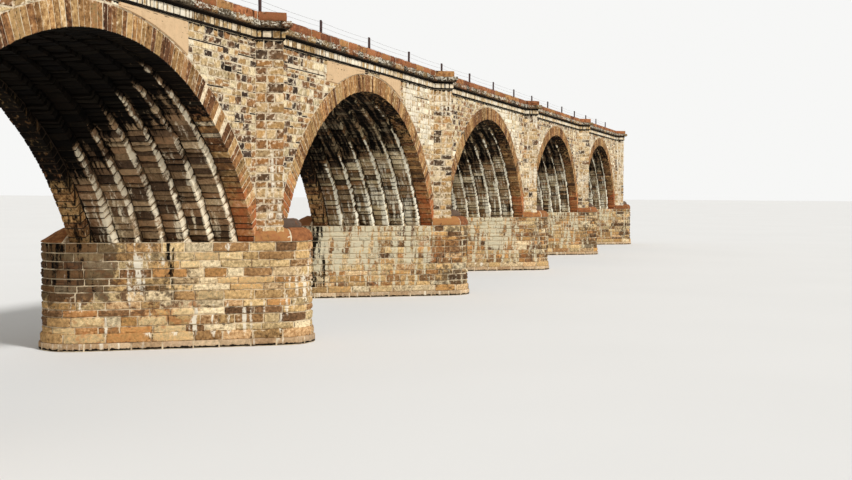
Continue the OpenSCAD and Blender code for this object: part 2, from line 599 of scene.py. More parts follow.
@dataclass
class Heap:
    """The mesh of many closed stones, gathered part by part."""

    points: list = field(default_factory=list)
    loops: list = field(default_factory=list)
    sizes: list = field(default_factory=list)
    tones: list = field(default_factory=list)
    stains: list = field(default_factory=list)
    count: int = 0
    stones: int = 0
    crease: float = 38.0

    def add(self, spots: Array, tone: Array, edge: Array, stain: Array, flip: bool,
            arc: Array | float = 0.0) -> None:
        """Adds closed stones, each a grid patch with its border joined by one face at the back.

        Args:
            spots: Points, stones x rows x columns x 3.
            tone: Two random numbers for each stone, stones x 2.
            edge: How near each grid point is to the stone's edge, rows x columns.
            stain: Soot, lime, damp and warmth of each point, stones x rows x columns x 4; soot and
                damp also carry painted shade, lime some painted sunlight.
            flip: True where the rows run the other way round.
            arc: Length along the face at each point, for streaks that follow it.
        """
        n, rows, cols = spots.shape[:3]
        index = np.arange(rows * cols).reshape(rows, cols)
        quads = np.stack([index[:-1, :-1], index[:-1, 1:], index[1:, 1:], index[1:, :-1]], axis=-1)
        quads = quads.reshape(-1, 4)
        rim = np.concatenate([index[0, :-1], index[:-1, -1], index[-1, :0:-1], index[:0:-1, 0]])
        back = rim[::-1]
        if flip:
            quads, back = quads[:, ::-1], rim
        one = np.concatenate([quads.ravel(), back])
        start = self.count + np.arange(n)[:, None] * rows * cols
        self.loops.append((start + one).ravel())
        self.sizes.append(np.tile(np.append(np.full(len(quads), 4), len(back)), n))
        self.points.append(spots.reshape(-1, 3))
        grid = (n, rows, cols)
        tones = np.stack([np.broadcast_to(tone[:, 0, None, None], grid),
                          np.broadcast_to(tone[:, 1, None, None], grid),
                          np.broadcast_to(edge, grid), np.broadcast_to(arc, grid)], axis=-1)
        self.tones.append(tones.reshape(-1, 4))
        self.stains.append(np.clip(stain, 0, 2).reshape(-1, 4))
        self.count += n * rows * cols
        self.stones += n

    def add_sheet(self, spots: Array, stain: Array) -> None:
        """Adds one closed sheet of an even tone: rows x columns of points and of stains."""
        self.add(spots[None], np.array([[0.5, 0.5]]), np.zeros(spots.shape[:2]), stain, False)

    def turned(self) -> "Heap":
        """The same stones after half a turn about the upright axis."""
        return replace(self, points=[spots * Side.BACK.turn for spots in self.points])

    def mesh(self, name: str) -> bpy.types.Mesh:
        """Puts the gathered arrays into a mesh, with the stones' looks as point attributes.

        Args:
            name: Name of the mesh.

        Returns:
            The mesh.
        """
        points, loops = np.concatenate(self.points), np.concatenate(self.loops)
        sizes = np.concatenate(self.sizes)
        mesh = bpy.data.meshes.new(name)
        mesh.vertices.add(len(points))
        mesh.vertices.foreach_set("co", points.astype(np.float32).ravel())
        mesh.loops.add(len(loops))
        mesh.loops.foreach_set("vertex_index", loops.astype(np.int32))
        mesh.polygons.add(len(sizes))
        starts = np.concatenate([[0], np.cumsum(sizes)[:-1]])
        mesh.polygons.foreach_set("loop_start", starts.astype(np.int32))
        mesh.polygons.foreach_set("loop_total", sizes.astype(np.int32))
        for layer, values in ((Layer.STONE, self.tones), (Layer.STAIN, self.stains)):
            held = mesh.attributes.new(layer, "FLOAT_COLOR", "POINT")
            held.data.foreach_set("color", np.concatenate(values).astype(np.float32).ravel())
        mesh.update(calc_edges=True)
        mesh.validate()
        mesh.polygons.foreach_set("use_smooth", np.ones(len(mesh.polygons), dtype=bool))
        mesh.set_sharp_from_angle(angle=math.radians(self.crease))
        return mesh

    def put(self, name: str, slot: str, material: Material) -> None:
        """Makes a piece of the stones, dresses it and rides it on the bridge.

        Args:
            name: Name of the piece.
            slot: Material slot of the record, not used here.
            material: Its finish.
        """
        mesh = self.mesh(name)
        mesh.materials.append(material)
        piece = place(name, mesh)
        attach(piece, "root")
        LOG.info("%s: %d stones, %d points", name, self.stones, self.count)

    def put_both(self, name: str, slot: str, material: Material) -> None:
        """Puts up the front stones, and the same stones after half a turn for the back."""
        self.put(f"{name}_{Side.FRONT}", slot, material)
        self.turned().put(f"{name}_{Side.BACK}", slot, material)


def stains(soot: Array, lime: Array, damp: Array, warm: Array) -> Array:
    """The four stains of each point side by side, a single value spread over all points."""
    return np.stack(np.broadcast_arrays(soot, lime, damp, warm), axis=-1)


def within(x: Array, stretch: Sequence[float]) -> Array:
    """1 inside a stretch and 0 outside it, eased over both of its ends."""
    return ease(x, stretch[0], stretch[1]) * ease(-x, -stretch[3], -stretch[2])


Weather = Callable[[Array, Array], Array]


def no_weather(spots: Array, part: Array) -> Array:
    """Clean stone: soot, lime, damp and warmth are all 0."""
    return np.zeros(part.shape + (4,))


def stops(low: Array, high: Array, inset: Array, bevel: Array, middle: Optional[Array],
          inner: int = 1) -> Array:
    """Places across a stone: edge, bevel, some inner ones with the middle, bevel, edge.

    Args:
        low: One side of each stone.
        high: The other side of each stone.
        inset: Half the joint, in the same unit.
        bevel: Width of the worn edge, in the same unit.
        middle: Where the middle line goes, or None for halfway.
        inner: Number of inner places, an odd one.

    Returns:
        The shares of each stone's width, stones x (inner + 4).
    """
    width = np.maximum(high - low, 1e-6)
    rim = np.minimum(inset / width, 0.22)
    edge = rim + np.minimum(bevel / width, 0.2)
    centre = np.full(len(low), 0.5)
    if middle is not None:
        centre = np.where(np.isnan(middle), centre, (middle - low) / width)
    centre = np.clip(centre, edge + 0.02, 0.98 - edge)[:, None]
    part = np.linspace(0, 1, inner // 2 + 2)[None, 1:-1]
    rim, edge = rim[:, None], edge[:, None]
    before = edge + (centre - edge) * part
    after = centre + (1 - edge - centre) * part
    return np.concatenate([rim, edge, before, centre, after, 1 - edge, 1 - rim], axis=1)


def pairs(marks: Array) -> Array:
    """Each mark with the next one: both sides of each stone, or bed and top of each course."""
    return np.stack([marks[:-1], marks[1:]], axis=1)


def course(sides: Array, low: float, high: float) -> tuple[Array, Array]:
    """Corners of the plain stones of one course, from the lower left anticlockwise.

    Args:
        sides: Both sides of each stone, stones x 2.
        low: Height of the bed.
        high: Height of the top.

    Returns:
        The corners along the face and their heights, stones x 4 each.
    """
    return sides[:, [0, 1, 1, 0]], np.tile([low, low, high, high], (len(sides), 1))


def joined(parts: list) -> tuple[Array, ...]:
    """Joins the arrays of several courses, each kind with its own."""
    return tuple(np.concatenate(kind) for kind in zip(*parts))


@dataclass(frozen=True)
class Rows:
    """Rows of a stone that turns over an edge: places along the profile, and shares of lift."""

    places: tuple
    lifts: tuple


def rim_lift(inner: int) -> Array:
    """Share of the full height across a stone: skirt, bevel, full inside, bevel, skirt."""
    return np.concatenate([[-1, 0.8], np.ones(inner), [0.8, -1]])


@dataclass
class Masonry:
    """Stones that are cut to size and laid on a face, where the weather stains them by place."""

    seed: int
    weather: Weather = no_weather
    heap: Heap = field(default_factory=Heap)
    play: tuple = (0.6, 1.4)
    inside: float = 0.9
    lowest: float = 0.0003

    def __post_init__(self) -> None:
        """Starts the random numbers from the seed."""
        self.rng = np.random.default_rng(self.seed)

    def split(self, start: float, end: float, mean: float, spread: float) -> Array:
        """Joints between start and end, with random widths round a mean.

        Args:
            start: First joint.
            end: Last joint.
            mean: Usual width of a stone.
            spread: Largest departure from it, as a share.

        Returns:
            The joints in order, both ends with them.
        """
        count = max(1, round((end - start) / mean))
        widths = 1 + self.rng.uniform(-spread, spread, count)
        return start + (end - start) * np.concatenate([[0], np.cumsum(widths) / widths.sum()])

    def split_round(self, line: Trace, mean: float, spread: float) -> Array:
        """Both sides of each stone of a course round a closed line, from a random start."""
        start = self.rng.uniform(0, line.length)
        return pairs(self.split(start, start + line.length, mean, spread))

    def joints_along(self, line: Trace, mean: float, spread: float) -> tuple[Array, Array]:
        """Joints of one course, with one at each inner corner and none at an outer corner.

        Args:
            line: Line of the course.
            mean: Usual length of a stone.
            spread: Largest departure from it, as a share.

        Returns:
            Both sides of each stone, stones x 2, and the outer corner that it turns or NaN.
        """
        sides = []
        for start, end in pairs(np.concatenate([[0], line.bends, [line.length]])):
            joints = self.split(start, end, mean, spread)
            for corner in line.corners[(line.corners > start) & (line.corners < end)]:
                if len(joints) == 2:
                    continue
                near = int(np.argmin(np.abs(joints[1:-1] - corner))) + 1
                if abs(joints[near] - corner) < mean * 0.35:
                    joints = np.delete(joints, near)
            sides.append(pairs(joints))
        sides = np.concatenate(sides)
        middle = np.full(len(sides), np.nan)
        for corner in line.corners:
            middle[(sides[:, 0] < corner) & (sides[:, 1] > corner)] = corner
        return sides, middle

    def tones(self, n: int) -> Array:
        """Two random numbers for the colour of each of n stones."""
        return self.rng.random((n, 2))

    def heights(self, n: int, lift: Array, cut: Cut, across: Array, up: Array) -> Array:
        """Heights over the face: the skirt is sunk, and the rest is rough and slightly tilted.

        Args:
            n: Number of stones.
            lift: Share of the full height for each row and column, below 0 for the skirt.
            cut: How the stones are cut.
            across: Place of each point across its stone, 0 to 1.
            up: Place of each point up its stone, 0 to 1.

        Returns:
            The heights, stones x rows x columns.
        """
        rng = self.rng
        proud = cut.proud * rng.uniform(0.7, 1.3, (n, 1, 1)) + cut.jump * rng.random((n, 1, 1))**2
        bulge = cut.rough * rng.uniform(-0.5, 1.0, (n,) + lift.shape)
        lean = cut.tilt * rng.normal(0, 1, (n, 1, 1)) * (up - 0.5)
        swing = cut.tilt * rng.normal(0, 1, (n, 1, 1)) * (across - 0.5)
        full = np.maximum(proud * lift + bulge * lift**2 + lean + swing, self.lowest)
        return np.where(lift < 0, -cut.sink, full)

    def lay(self, face: WallFace, u: Array, v: Array, cut: Cut, tone: Optional[Array] = None,
            middle: Optional[Array] = None, wander: float = 0.0) -> None:
        """Lays four-cornered stones: each point is blended from the corners both ways.

        Args:
            face: Face that they lie on.
            u: Corners along the face, stones x 4, from the lower left anticlockwise.
            v: Corners up the face, in the same order.
            cut: How the stones are cut.
            tone: Random numbers for the colour, stones x 2, drawn here if left out.
            middle: Where the middle column goes, such as a corner of the wall, or None.
            wander: How far a corner may stray, in metres.
        """
        if not len(u):
            return
        tone = self.tones(len(u)) if tone is None else tone
        if wander:
            stray = self.rng.uniform(-wander, wander, (2,) + u.shape)
            if middle is not None:
                stray[0] *= 0.3
            u, v = u + stray[0], v + stray[1] * 0.7
        inset = cut.joint / 2 * self.rng.uniform(*self.play, len(u))
        a = stops(u[:, [0, 3]].mean(1), u[:, [1, 2]].mean(1), inset, cut.bevel, middle,
                  cut.columns)
        b = stops(v[:, [0, 1]].mean(1), v[:, [2, 3]].mean(1), inset, cut.bevel, None, cut.rows)
        a, b = a[:, None, :], b[:, :, None]
        pick = [c[:, None, None] for c in u.T], [c[:, None, None] for c in v.T]
        along, high = ((1 - b) * ((1 - a) * c[0] + a * c[1]) + b * ((1 - a) * c[3] + a * c[2])
                       for c in pick)
        lift = np.minimum(rim_lift(cut.rows)[:, None], rim_lift(cut.columns)[None, :])
        up, across = np.broadcast_arrays(b, a)
        h = self.heights(len(u), lift, cut, across, up)
        spots = face.place(along, high, h)
        edge = np.where(lift < self.inside, 1.0, 0.0)
        self.heap.add(spots, tone, edge, self.weather(spots, high), face.flip, along)

    def wrap(self, face: Profiled, u: Array, rows: Rows, cut: Cut,
             tone: Optional[Array] = None, reach: float = 1.0,
             middle: Optional[Array] = None) -> None:
        """Lays stones that turn over an edge of the profile, with given rows.

        Args:
            face: Face that they lie on.
            u: Both sides of each stone, stones x 2.
            rows: Rows of each stone, the skirt with a lift below 0.
            cut: How the stones are cut.
            tone: Random numbers for the colour, stones x 2, drawn here if left out.
            reach: Metres for one unit of u.
            middle: Where the middle column goes, or None.
        """
        if not len(u):
            return
        tone = self.tones(len(u)) if tone is None else tone
        inset = cut.joint / 2 / reach * self.rng.uniform(*self.play, len(u))
        a = stops(u[:, 0], u[:, 1], inset, cut.bevel / reach, middle, cut.columns)
        along = u[:, :1] + a * (u[:, 1:] - u[:, :1])
        lifts = np.minimum(np.array(rows.lifts)[:, None], rim_lift(cut.columns)[None, :])
        shape = (len(u),) + lifts.shape
        along = np.broadcast_to(along[:, None, :], shape)
        part = np.broadcast_to(np.array(rows.places)[None, :, None], shape)
        share = np.linspace(0, 1, len(lifts))[None, :, None]
        up, across = np.broadcast_to(share, shape), np.broadcast_to(a[:, None, :], shape)
        h = self.heights(len(u), lifts, cut, across, up)
        spots = face.place(along, part, h)
        edge = np.where(lifts < self.inside, 1.0, 0.0)
        self.heap.add(spots, tone, edge, self.weather(spots, part), face.flip, along * reach)


def shade(colour: Colour) -> tuple[float, float, float, float]:
    """Turns a screen colour of 0 to 255 into the linear one that materials take.

    Args:
        colour: Red, green and blue on the screen.

    Returns:
        The linear colour, with an alpha of 1.
    """
    screen = np.array(colour) / 255
    linear = np.where(screen <= 0.04045, screen / 12.92, ((screen + 0.055) / 1.055)**2.4)
    return tuple(float(c) for c in linear) + (1.0,)


Socket = bpy.types.NodeSocket


@dataclass
class Recipe:
    """A node material, put together step by step on Object coordinates and point attributes."""

    name: str

    def __post_init__(self) -> None:
        """Starts the material with its shader and its Object coordinates."""
        self.material = bpy.data.materials.new(self.name)
        self.material.use_nodes = True
        self.tree = self.material.node_tree
        self.shader = self.tree.nodes["Principled BSDF"]
        self.space = self.tree.nodes.new("ShaderNodeTexCoord").outputs["Object"]

    def feed(self, socket: Socket, value: object) -> None:
        """Links a socket to another one, or sets its own value.

        Args:
            socket: Input of a node.
            value: Another socket, a screen colour or a plain value.
        """
        if isinstance(value, Socket):
            self.tree.links.new(value, socket)
        elif isinstance(value, tuple) and socket.type == "RGBA":
            socket.default_value = shade(value)
        else:
            socket.default_value = value

    def node(self, kind: str, inputs: dict, **settings: object) -> bpy.types.Node:
        """Adds a node, with its own settings first and its inputs after them.

        Args:
            kind: Kind of the node.
            inputs: What goes into its inputs, by their names or places.
            settings: Values of its own settings.

        Returns:
            The node.
        """
        node = self.tree.nodes.new("ShaderNode" + kind)
        for name, value in settings.items():
            setattr(node, name, value)
        for key, value in inputs.items():
            self.feed(node.inputs[key], value)
        return node

    def noise(self, size: float, detail: float = 3.0, rough: float = 0.55,
              stretch: tuple = (1, 1, 1), source: Optional[Socket] = None) -> Socket:
        """Noise with features of about a given size.

        Args:
            size: Size of a feature in metres.
            detail: Number of finer layers.
            rough: Strength of each finer layer.
            stretch: How many times finer it is along X, Y and Z.
            source: Where it is taken, the Object coordinates if left out.

        Returns:
            Its factor.
        """
        source = source or self.space
        if stretch != (1, 1, 1):
            source = self.node("Mapping", {"Scale": stretch, "Vector": source}).outputs["Vector"]
        grid = {"Vector": source, "Scale": 1 / size, "Detail": detail, "Roughness": rough}
        return self.node("TexNoise", grid).outputs["Fac"]

    def attribute(self, layer: Layer) -> tuple[Socket, Socket, Socket, Socket]:
        """Reads a point attribute.

        Args:
            layer: Which one.

        Returns:
            Its four channels.
        """
        node = self.node("Attribute", {}, attribute_name=layer.value)
        split = self.node("SeparateColor", {"Color": node.outputs["Color"]})
        return tuple(split.outputs[c] for c in ("Red", "Green", "Blue")) + (node.outputs["Alpha"],)

    def spot(self, x: object, y: object, z: object = 0.0) -> Socket:
        """A place made of three values."""
        return self.node("CombineXYZ", {0: x, 1: y, 2: z}).outputs[0]

    def axis(self, name: str) -> Socket:
        """One of the three Object coordinates."""
        return self.node("SeparateXYZ", {0: self.space}).outputs[name]

    def facing(self, name: str) -> Socket:
        """One part of the surface's own direction."""
        normal = self.node("NewGeometry", {}).outputs["Normal"]
        return self.node("SeparateXYZ", {0: normal}).outputs[name]

    def sum(self, kind: str, first: object, second: object = 0.0, third: object = 0.0) -> Socket:
        """One arithmetic step, kept between 0 and 1 where its kind ends in a dot."""
        return self.node("Math", {0: first, 1: second, 2: third}, operation=kind.rstrip("."),
                         use_clamp=kind.endswith(".")).outputs[0]

    def sway(self, value: object, noise: Socket, amount: object) -> Socket:
        """Moves a value up and down with a noise: value + amount (noise - 0.5)."""
        return self.sum("MULTIPLY_ADD", self.sum("SUBTRACT", noise, 0.5), amount, value)

    def span(self, value: Socket, low: float, high: float) -> Socket:
        """Maps a value so that low gives 0 and high gives 1, smoothly and kept inside."""
        return self.node("MapRange", {"Value": value, "From Min": low, "From Max": high},
                         interpolation_type="SMOOTHSTEP").outputs["Result"]

    def palette(self, value: Socket, colours: Sequence[Colour]) -> Socket:
        """Colours laid out evenly from 0 to 1.

        Args:
            value: Where the colour is taken.
            colours: Two screen colours or more.

        Returns:
            The colour there.
        """
        node = self.node("ValToRGB", {"Fac": value})
        first, last = node.color_ramp.elements
        first.color, last.color = shade(colours[0]), shade(colours[-1])
        for i, colour in enumerate(colours[1:-1], 1):
            node.color_ramp.elements.new(i / (len(colours) - 1)).color = shade(colour)
        return node.outputs["Color"]

    def mix(self, amount: object, first: object, second: object, kind: str = "MIX") -> Socket:
        """Mixes two colours."""
        return self.node("Mix", {0: amount, 6: first, 7: second}, data_type="RGBA",
                         blend_type=kind).outputs[2]

    def grey(self, value: Socket) -> Socket:
        """A grey of the given value."""
        return self.node("CombineColor", {0: value, 1: value, 2: value}).outputs["Color"]

    def relief(self, height: Socket, depth: float) -> None:
        """Gives the shader a bump of a given depth in metres."""
        node = self.node("Bump", {"Strength": 1.0, "Distance": depth, "Height": height})
        self.feed(self.shader.inputs["Normal"], node.outputs["Normal"])

    def finish(self, colour: Socket, roughness: float, specular: float = 0.05) -> Material:
        """Gives the shader its colour and its own plain values.

        Args:
            colour: Base colour.
            roughness: From 0 for a mirror to 1 for chalk.
            specular: Strength of the highlight.

        Returns:
            The finished material.
        """
        self.feed(self.shader.inputs["Base Color"], colour)
        self.shader.inputs["Roughness"].default_value = roughness
        self.shader.inputs["Specular IOR Level"].default_value = specular
        return self.material


@dataclass(frozen=True)
class StoneFinish:
    """Weathered stone whose colour comes from each stone's own numbers, its stains and painted
    shade.
    """

    name: str
    colours: tuple
    mortar: Colour = (226, 209, 178)
    smear: float = 0.3
    speckle: float = 0.7
    contrast: float = 0.35
    drift: float = 0.22
    fibre: float = 0.0
    cloud: float = 0.035
    run: tuple = (0.02, 0.2)
    wraps: bool = False
    soft: float = 0.4
    grit: float = 0.5
    shadow: float = 0.0
    soot: Colour = (8, 7, 6)
    lime: Colour = (236, 226, 204)
    damp: Colour = (66, 52, 40)
    warm: Colour = (190, 108, 58)
    fine: float = 0.0025
    coarse: float = 0.014
    depth: float = 0.0009
    roughness: float = 0.88

    def material(self) -> Material:
        """Palette by stone, mottled by noise, then mortar on the edges, then painted shade on some
        edges, then the stains.

        The runs are noise drawn out along the face where the stones wrap round an arch, and
        down the face elsewhere.

        Returns:
            The material.
        """
        r = Recipe(self.name)
        tone, second, edge, arc = r.attribute(Layer.STONE)
        soot, lime, damp, warm = r.attribute(Layer.STAIN)
        coarse = r.noise(self.coarse, 5.0, 0.62)
        fine = r.noise(self.fine, 3.0, 0.65)
        colour = r.palette(r.sway(tone, coarse, self.drift), self.colours)
        value = r.sum("MULTIPLY_ADD", second, self.contrast, 1 - self.contrast / 2)
        value = r.sway(value, fine, self.speckle)
        value = r.sway(value, coarse, self.speckle * 1.6)
        if self.fibre:
            strand = r.spot(r.sum("MULTIPLY_ADD", tone, 9.0, arc), 0.0, 0.0)
            strand = r.noise(0.007, 3.0, 0.6, source=strand)
            value = r.sway(value, strand, self.fibre)
        colour = r.mix(1.0, colour, r.grey(value), "MULTIPLY")
        worn = r.sum("MULTIPLY_ADD", edge, self.smear, r.sum("SUBTRACT", coarse, 0.75))
        worn = r.sum("MULTIPLY.", r.span(worn, 0.0, 0.2), 0.85)
        colour = r.mix(worn, colour, self.mortar)
        # Painted shade: where the edge mark is high and the coarse noise low, the stone turns to
        # the soot colour, as shadow between the stones.
        if self.shadow:
            under = r.span(r.sum("SUBTRACT", edge, coarse), 0.53, 0.66)
            colour = r.mix(r.sum("MULTIPLY", under, self.shadow), colour, self.soot)
        cloud = r.span(r.noise(self.cloud, 5.0, 0.65), 0.3, 0.7)
        wide, long = self.run
        if self.wraps:
            drip = r.spot(r.sum("MULTIPLY", arc, wide / long), r.axis("Y"))
            run = r.noise(wide, 5.0, 0.62, source=drip)
        else:
            run = r.noise(wide, 5.0, 0.62, (1, 1, wide / long))
        run = r.span(run, 0.32, 0.68)
        # The soot and damp stains also carry painted shade, and the lime stain painted sunlight on
        # the rib steps.
        for amount, stain, drift, full in ((warm, self.warm, cloud, 0.6),
                                           (damp, self.damp, cloud, 0.75),
                                           (lime, self.lime, run, 0.9),
                                           (soot, self.soot, r.sum("SUBTRACT", 1.0, run), 0.985)):
            level = r.sum("MULTIPLY_ADD", amount, 1.4, r.sum("SUBTRACT", drift, 1.2))
            level = r.sway(level, coarse, self.grit)
            colour = r.mix(r.sum("MULTIPLY", r.span(level, 0.0, self.soft), full), colour, stain)
        height = r.sum("MULTIPLY_ADD", fine, 0.35, coarse)
        r.relief(height, self.depth)
        return r.finish(colour, self.roughness)


@dataclass(frozen=True)
class MortarFinish:
    """Lime mortar on the plain bodies of the masonry, painted shade on soffits, soot and shade high
    in the arches.
    """

    name: str
    colour: Colour = (226, 209, 178)
    dark: Colour = (150, 122, 92)
    soffit: Colour = (52, 42, 33)
    inside: Optional[Colour] = None
    toward: float = 0.0
    black: float = 0.0
    patch: float = 0.03
    depth: float = 0.0005
    soot: Colour = (13, 11, 9)
    fade: float = 0.28

    def material(self) -> Material:
        """Pale mortar with darker patches, painted shade where the face looks down or away from a
        side, and soot with painted shade high up.

        Returns:
            The material.
        """
        r = Recipe(self.name)
        blotch = r.noise(self.patch, 5.0, 0.6)
        grain = r.noise(0.002, 3.0, 0.6)
        colour = r.mix(r.span(blotch, 0.42, 0.72), self.colour, self.dark)
        grit = r.sum("MULTIPLY_ADD", grain, 0.5, 0.72)
        colour = r.mix(1.0, colour, r.grey(grit), "MULTIPLY")
        # Painted shade: faces that look down turn to the soffit colour.
        down = r.span(r.sum("MULTIPLY", r.facing("Z"), -1.0), 0.1, 0.6)
        colour = r.mix(down, colour, self.soffit)
        # Painted shade: faces that do not look towards the given side, or along Y when none is
        # given, take the darker inside colour.
        if self.inside:
            flank = r.sum("MULTIPLY", r.facing("Y"), self.toward)
            if not self.toward:
                flank = r.sum("ABSOLUTE", r.facing("Y"))
            flank = r.span(flank, 0.3, 0.7)
            inner = r.mix(r.span(blotch, 0.4, 0.6), self.inside, self.soffit)
            colour = r.mix(flank, inner, colour)
        # Soot and painted shade: above the given height the mortar turns to the soot colour, as in
        # the dark crowns of the arches.
        if self.black:
            high = r.sway(r.axis("Z"), blotch, 0.5)
            high = r.span(high, self.black, self.black + self.fade)
            colour = r.mix(high, colour, self.soot)
        r.relief(r.sum("ADD", grain, blotch), self.depth)
        return r.finish(colour, 0.92)


PLINTH_CUT = Cut(joint=0.004, bevel=0.005, proud=0.0028, rough=0.004, tilt=0.0015, jump=0.002,
                 columns=5)
FOOTING_CUT = Cut(joint=0.003, bevel=0.004, proud=0.0012, rough=0.0006, columns=5)
CORNICE_CUT = Cut(joint=0.005, bevel=0.004, proud=0.0016, rough=0.009, tilt=0.005, jump=0.004,
                  columns=5)
PARAPET_CUT = Cut(joint=0.0016, bevel=0.003, proud=0.0016, rough=0.0018, tilt=0.001, columns=3)


def place(name: str, data: bpy.types.ID) -> bpy.types.Object:
    """Makes an object and puts it into the scene.

    Args:
        name: Name of the object.
        data: Its mesh, light or camera.

    Returns:
        The new object.
    """
    thing = bpy.data.objects.new(name, data)
    bpy.context.scene.collection.objects.link(thing)
    return thing


def dress(nodes: Sequence[str], material: Material) -> None:
    """Gives the plain bodies of some nodes a finish.

    Args:
        nodes: Names of the nodes.
        material: The finish.
    """
    for name in nodes:
        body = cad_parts[name]
        for slot in body.material_slots:
            slot.material = material
        if not body.material_slots:
            body.data.materials.append(material)


def course_line(out: float) -> Trace:
    """The front line of a course: straight along the wall and broken out round each shaft.

    The shaft rectangle grown by the projection meets the wall line on its left and right sides,
    and its front corner stands out between them.

    Args:
        out: Projection of the course from the wall face.

    Returns:
        The line from the left end to the right end.
    """
    wall_y = -SIZE.half_width - out
    across, along = SIZE.shaft
    across, along = across + out, along + out
    cos, sin = SIZE.turn
    points = []
    for k in SIZE.all_piers:
        left = (wall_y + across * sin) / cos
        right = (wall_y + along * cos) / sin
        if k == 1:
            points.append(SIZE.at_pier(k, -SIZE.shaft[0], -along))
        else:
            points.append(SIZE.at_pier(k, -across, left))
            points.append(SIZE.at_pier(k, -across, -along))
        points.append(SIZE.at_pier(k, right, -along))
    points.append((SIZE.end_x(1, wall_y), wall_y))
    return Trace.through(points)


def pilaster_plan(k: int) -> list[tuple[float, float]]:
    """Where the pilaster of a pier leaves the wall face, turns its corner and meets it again.

    Args:
        k: Number of the pier.

    Returns:
        The three points in plan, from left to right.
    """
    half, reach = SIZE.shaft
    cos, sin = SIZE.turn
    face = -SIZE.half_width
    return [SIZE.at_pier(k, -half, (face + half * sin) / cos), SIZE.at_pier(k, -half, -reach),
            SIZE.at_pier(k, (face + reach * cos) / sin, -reach)]


@dataclass
class Spandrels(Masonry):
    """The coursed rubble of the two long walls between the rings and the pilasters."""

    cut: Cut = Cut(joint=0.004, bevel=0.0024, proud=0.0018, rough=0.002, tilt=0.0018,
                   jump=0.0018)
    back: Cut = Cut(joint=0.0, bevel=0.0006, proud=0.0004, rough=0.0)
    course: float = 0.0335
    stone: float = 0.057
    uneven: float = 0.28
    shortest: float = 0.02
    steep: float = 0.05
    thinnest: float = 0.006
    tall: float = 0.034
    open_share: float = 0.05
    slit: float = 0.003
    seams: tuple = ((-3.68, -3.18, 1.268), (-4.64, -4.3, 1.287), (-4.18, -3.99, 1.272),
                    (-1.7, -1.4, 1.277), (-4.52, -4.3, 1.118), (2.0, 2.5, 1.3))
    holes: tuple = ((-4.27, 1.193), (1.72, 1.014), (3.65, 1.1))

    def haunch(self, wall_x: float, middle: float) -> tuple[Array, ...]:
        """Stones left of a crown: courses that end on the ring, x = middle - sqrt(R^2 - z^2).

        A steep end is one slanted stone. A flat end is a run of stones with raised undersides.

        Args:
            wall_x: Where the courses start.
            middle: Middle of the arch.

        Returns:
            The corners along the wall and their heights, stones x 4 each.
        """
        outer = SIZE.radius + SIZE.ring + 0.001

        def side(z: float) -> float:
            """Place of the ring's back at height z."""
            return middle - math.sqrt(max(outer**2 - (z - SIZE.centre_z)**2, 0))

        def under(x: Array) -> Array:
            """Height of the ring's back at x."""
            return SIZE.centre_z + np.sqrt(np.maximum(outer**2 - (x - middle)**2, 0))

        parts = []
        for low, high in self.levels():
            near, far = side(low), side(high)
            if far - wall_x < self.shortest:
                continue
            slanted = far - near < self.steep
            flat_end = max(near, wall_x)
            full = flat_end - wall_x > self.shortest
            if full:
                joints = self.split(wall_x, flat_end, self.stone, 0.45)
                u, v = course(pairs(joints), low, high)
                if slanted:
                    u[-1, 2] = far
                parts.append((u, v))
            if not (full and slanted):
                joints = self.split(flat_end, far, self.stone, 0.35)
                u, v = course(pairs(joints), low, high)
                raised = np.maximum(low, np.minimum(under(joints), high - self.thinnest))
                v[:, 0], v[:, 1] = raised[:-1], raised[1:]
                parts.append((u, v))
        return joined(parts)

    def levels(self) -> Array:
        """Bed and top of each course, courses x 2."""
        return pairs(self.split(SIZE.springing, SIZE.wall_top, self.course, self.uneven))

    def halved(self, u: Array, v: Array) -> tuple[Array, Array]:
        """Splits some tall stones into two thin ones, for rubble that breaks its courses.

        Args:
            u: Corners along the wall, stones x 4.
            v: Heights of the corners.

        Returns:
            The corners of all stones and their heights.
        """
        pick = (v[:, 3] - v[:, 0] > self.tall) & (v[:, 2] - v[:, 1] > self.tall)
        pick &= self.rng.random(len(u)) < 0.2
        share = self.rng.uniform(0.38, 0.62, pick.sum())[:, None]
        lower, upper = v[pick].copy(), v[pick].copy()
        level = lower[:, [0, 1]] * (1 - share) + lower[:, [3, 2]] * share
        lower[:, [3, 2]] = upper[:, [0, 1]] = level
        return (np.concatenate([u[~pick], u[pick], u[pick]]),
                np.concatenate([v[~pick], lower, upper]))

    def open_up(self, u: Array, v: Array) -> tuple[Array, Array, Array, Array]:
        """Opens deep joints under some stones, along given lines, and leaves some stones out.

        A stone beside an open joint is trimmed to it: its lower edge rises or its top drops.

        Args:
            u: Corners along the wall, stones x 4.
            v: Heights of the corners.

        Returns:
            The corners of the stones that are left, and the corners of the openings, whose backs
            get painted shade.
        """
        middle, low, high = u.mean(1), v[:, 0], v[:, 3]
        gone = np.zeros(len(u), dtype=bool)
        for x, z in self.holes:
            gone |= (u[:, 0] < x) & (u[:, 1] > x) & (low < z) & (high > z)
        open_u, open_v = [u[gone]], [v[gone]]
        v = v.copy()
        picked = (self.rng.random(len(u)) < self.open_share) & (high - low > 0.02)
        depth = self.rng.uniform(0.004, 0.007, len(u))
        for start, end, level in self.seams:
            along = (middle > start) & (middle < end) & (low < level) & (high > level)
            upper = along & (level < (low + high) / 2)
            v[upper, 0] = v[upper, 1] = level + self.slit
            v[along & ~upper, 2] = v[along & ~upper, 3] = level - self.slit
            open_u.append(np.array([[start, end, end, start]]))
            open_v.append(level + self.slit * np.array([[-1, -1, 1, 1]]))
            picked &= ~along
        picked &= ~gone
        open_u.append(u[picked])
        edge = v[picked][:, [0, 1, 1, 0]].copy()
        edge[:, 2:] += depth[picked, None]
        open_v.append(edge)
        v[picked, :2] += depth[picked, None]
        return u[~gone], v[~gone], np.concatenate(open_u), np.concatenate(open_v)

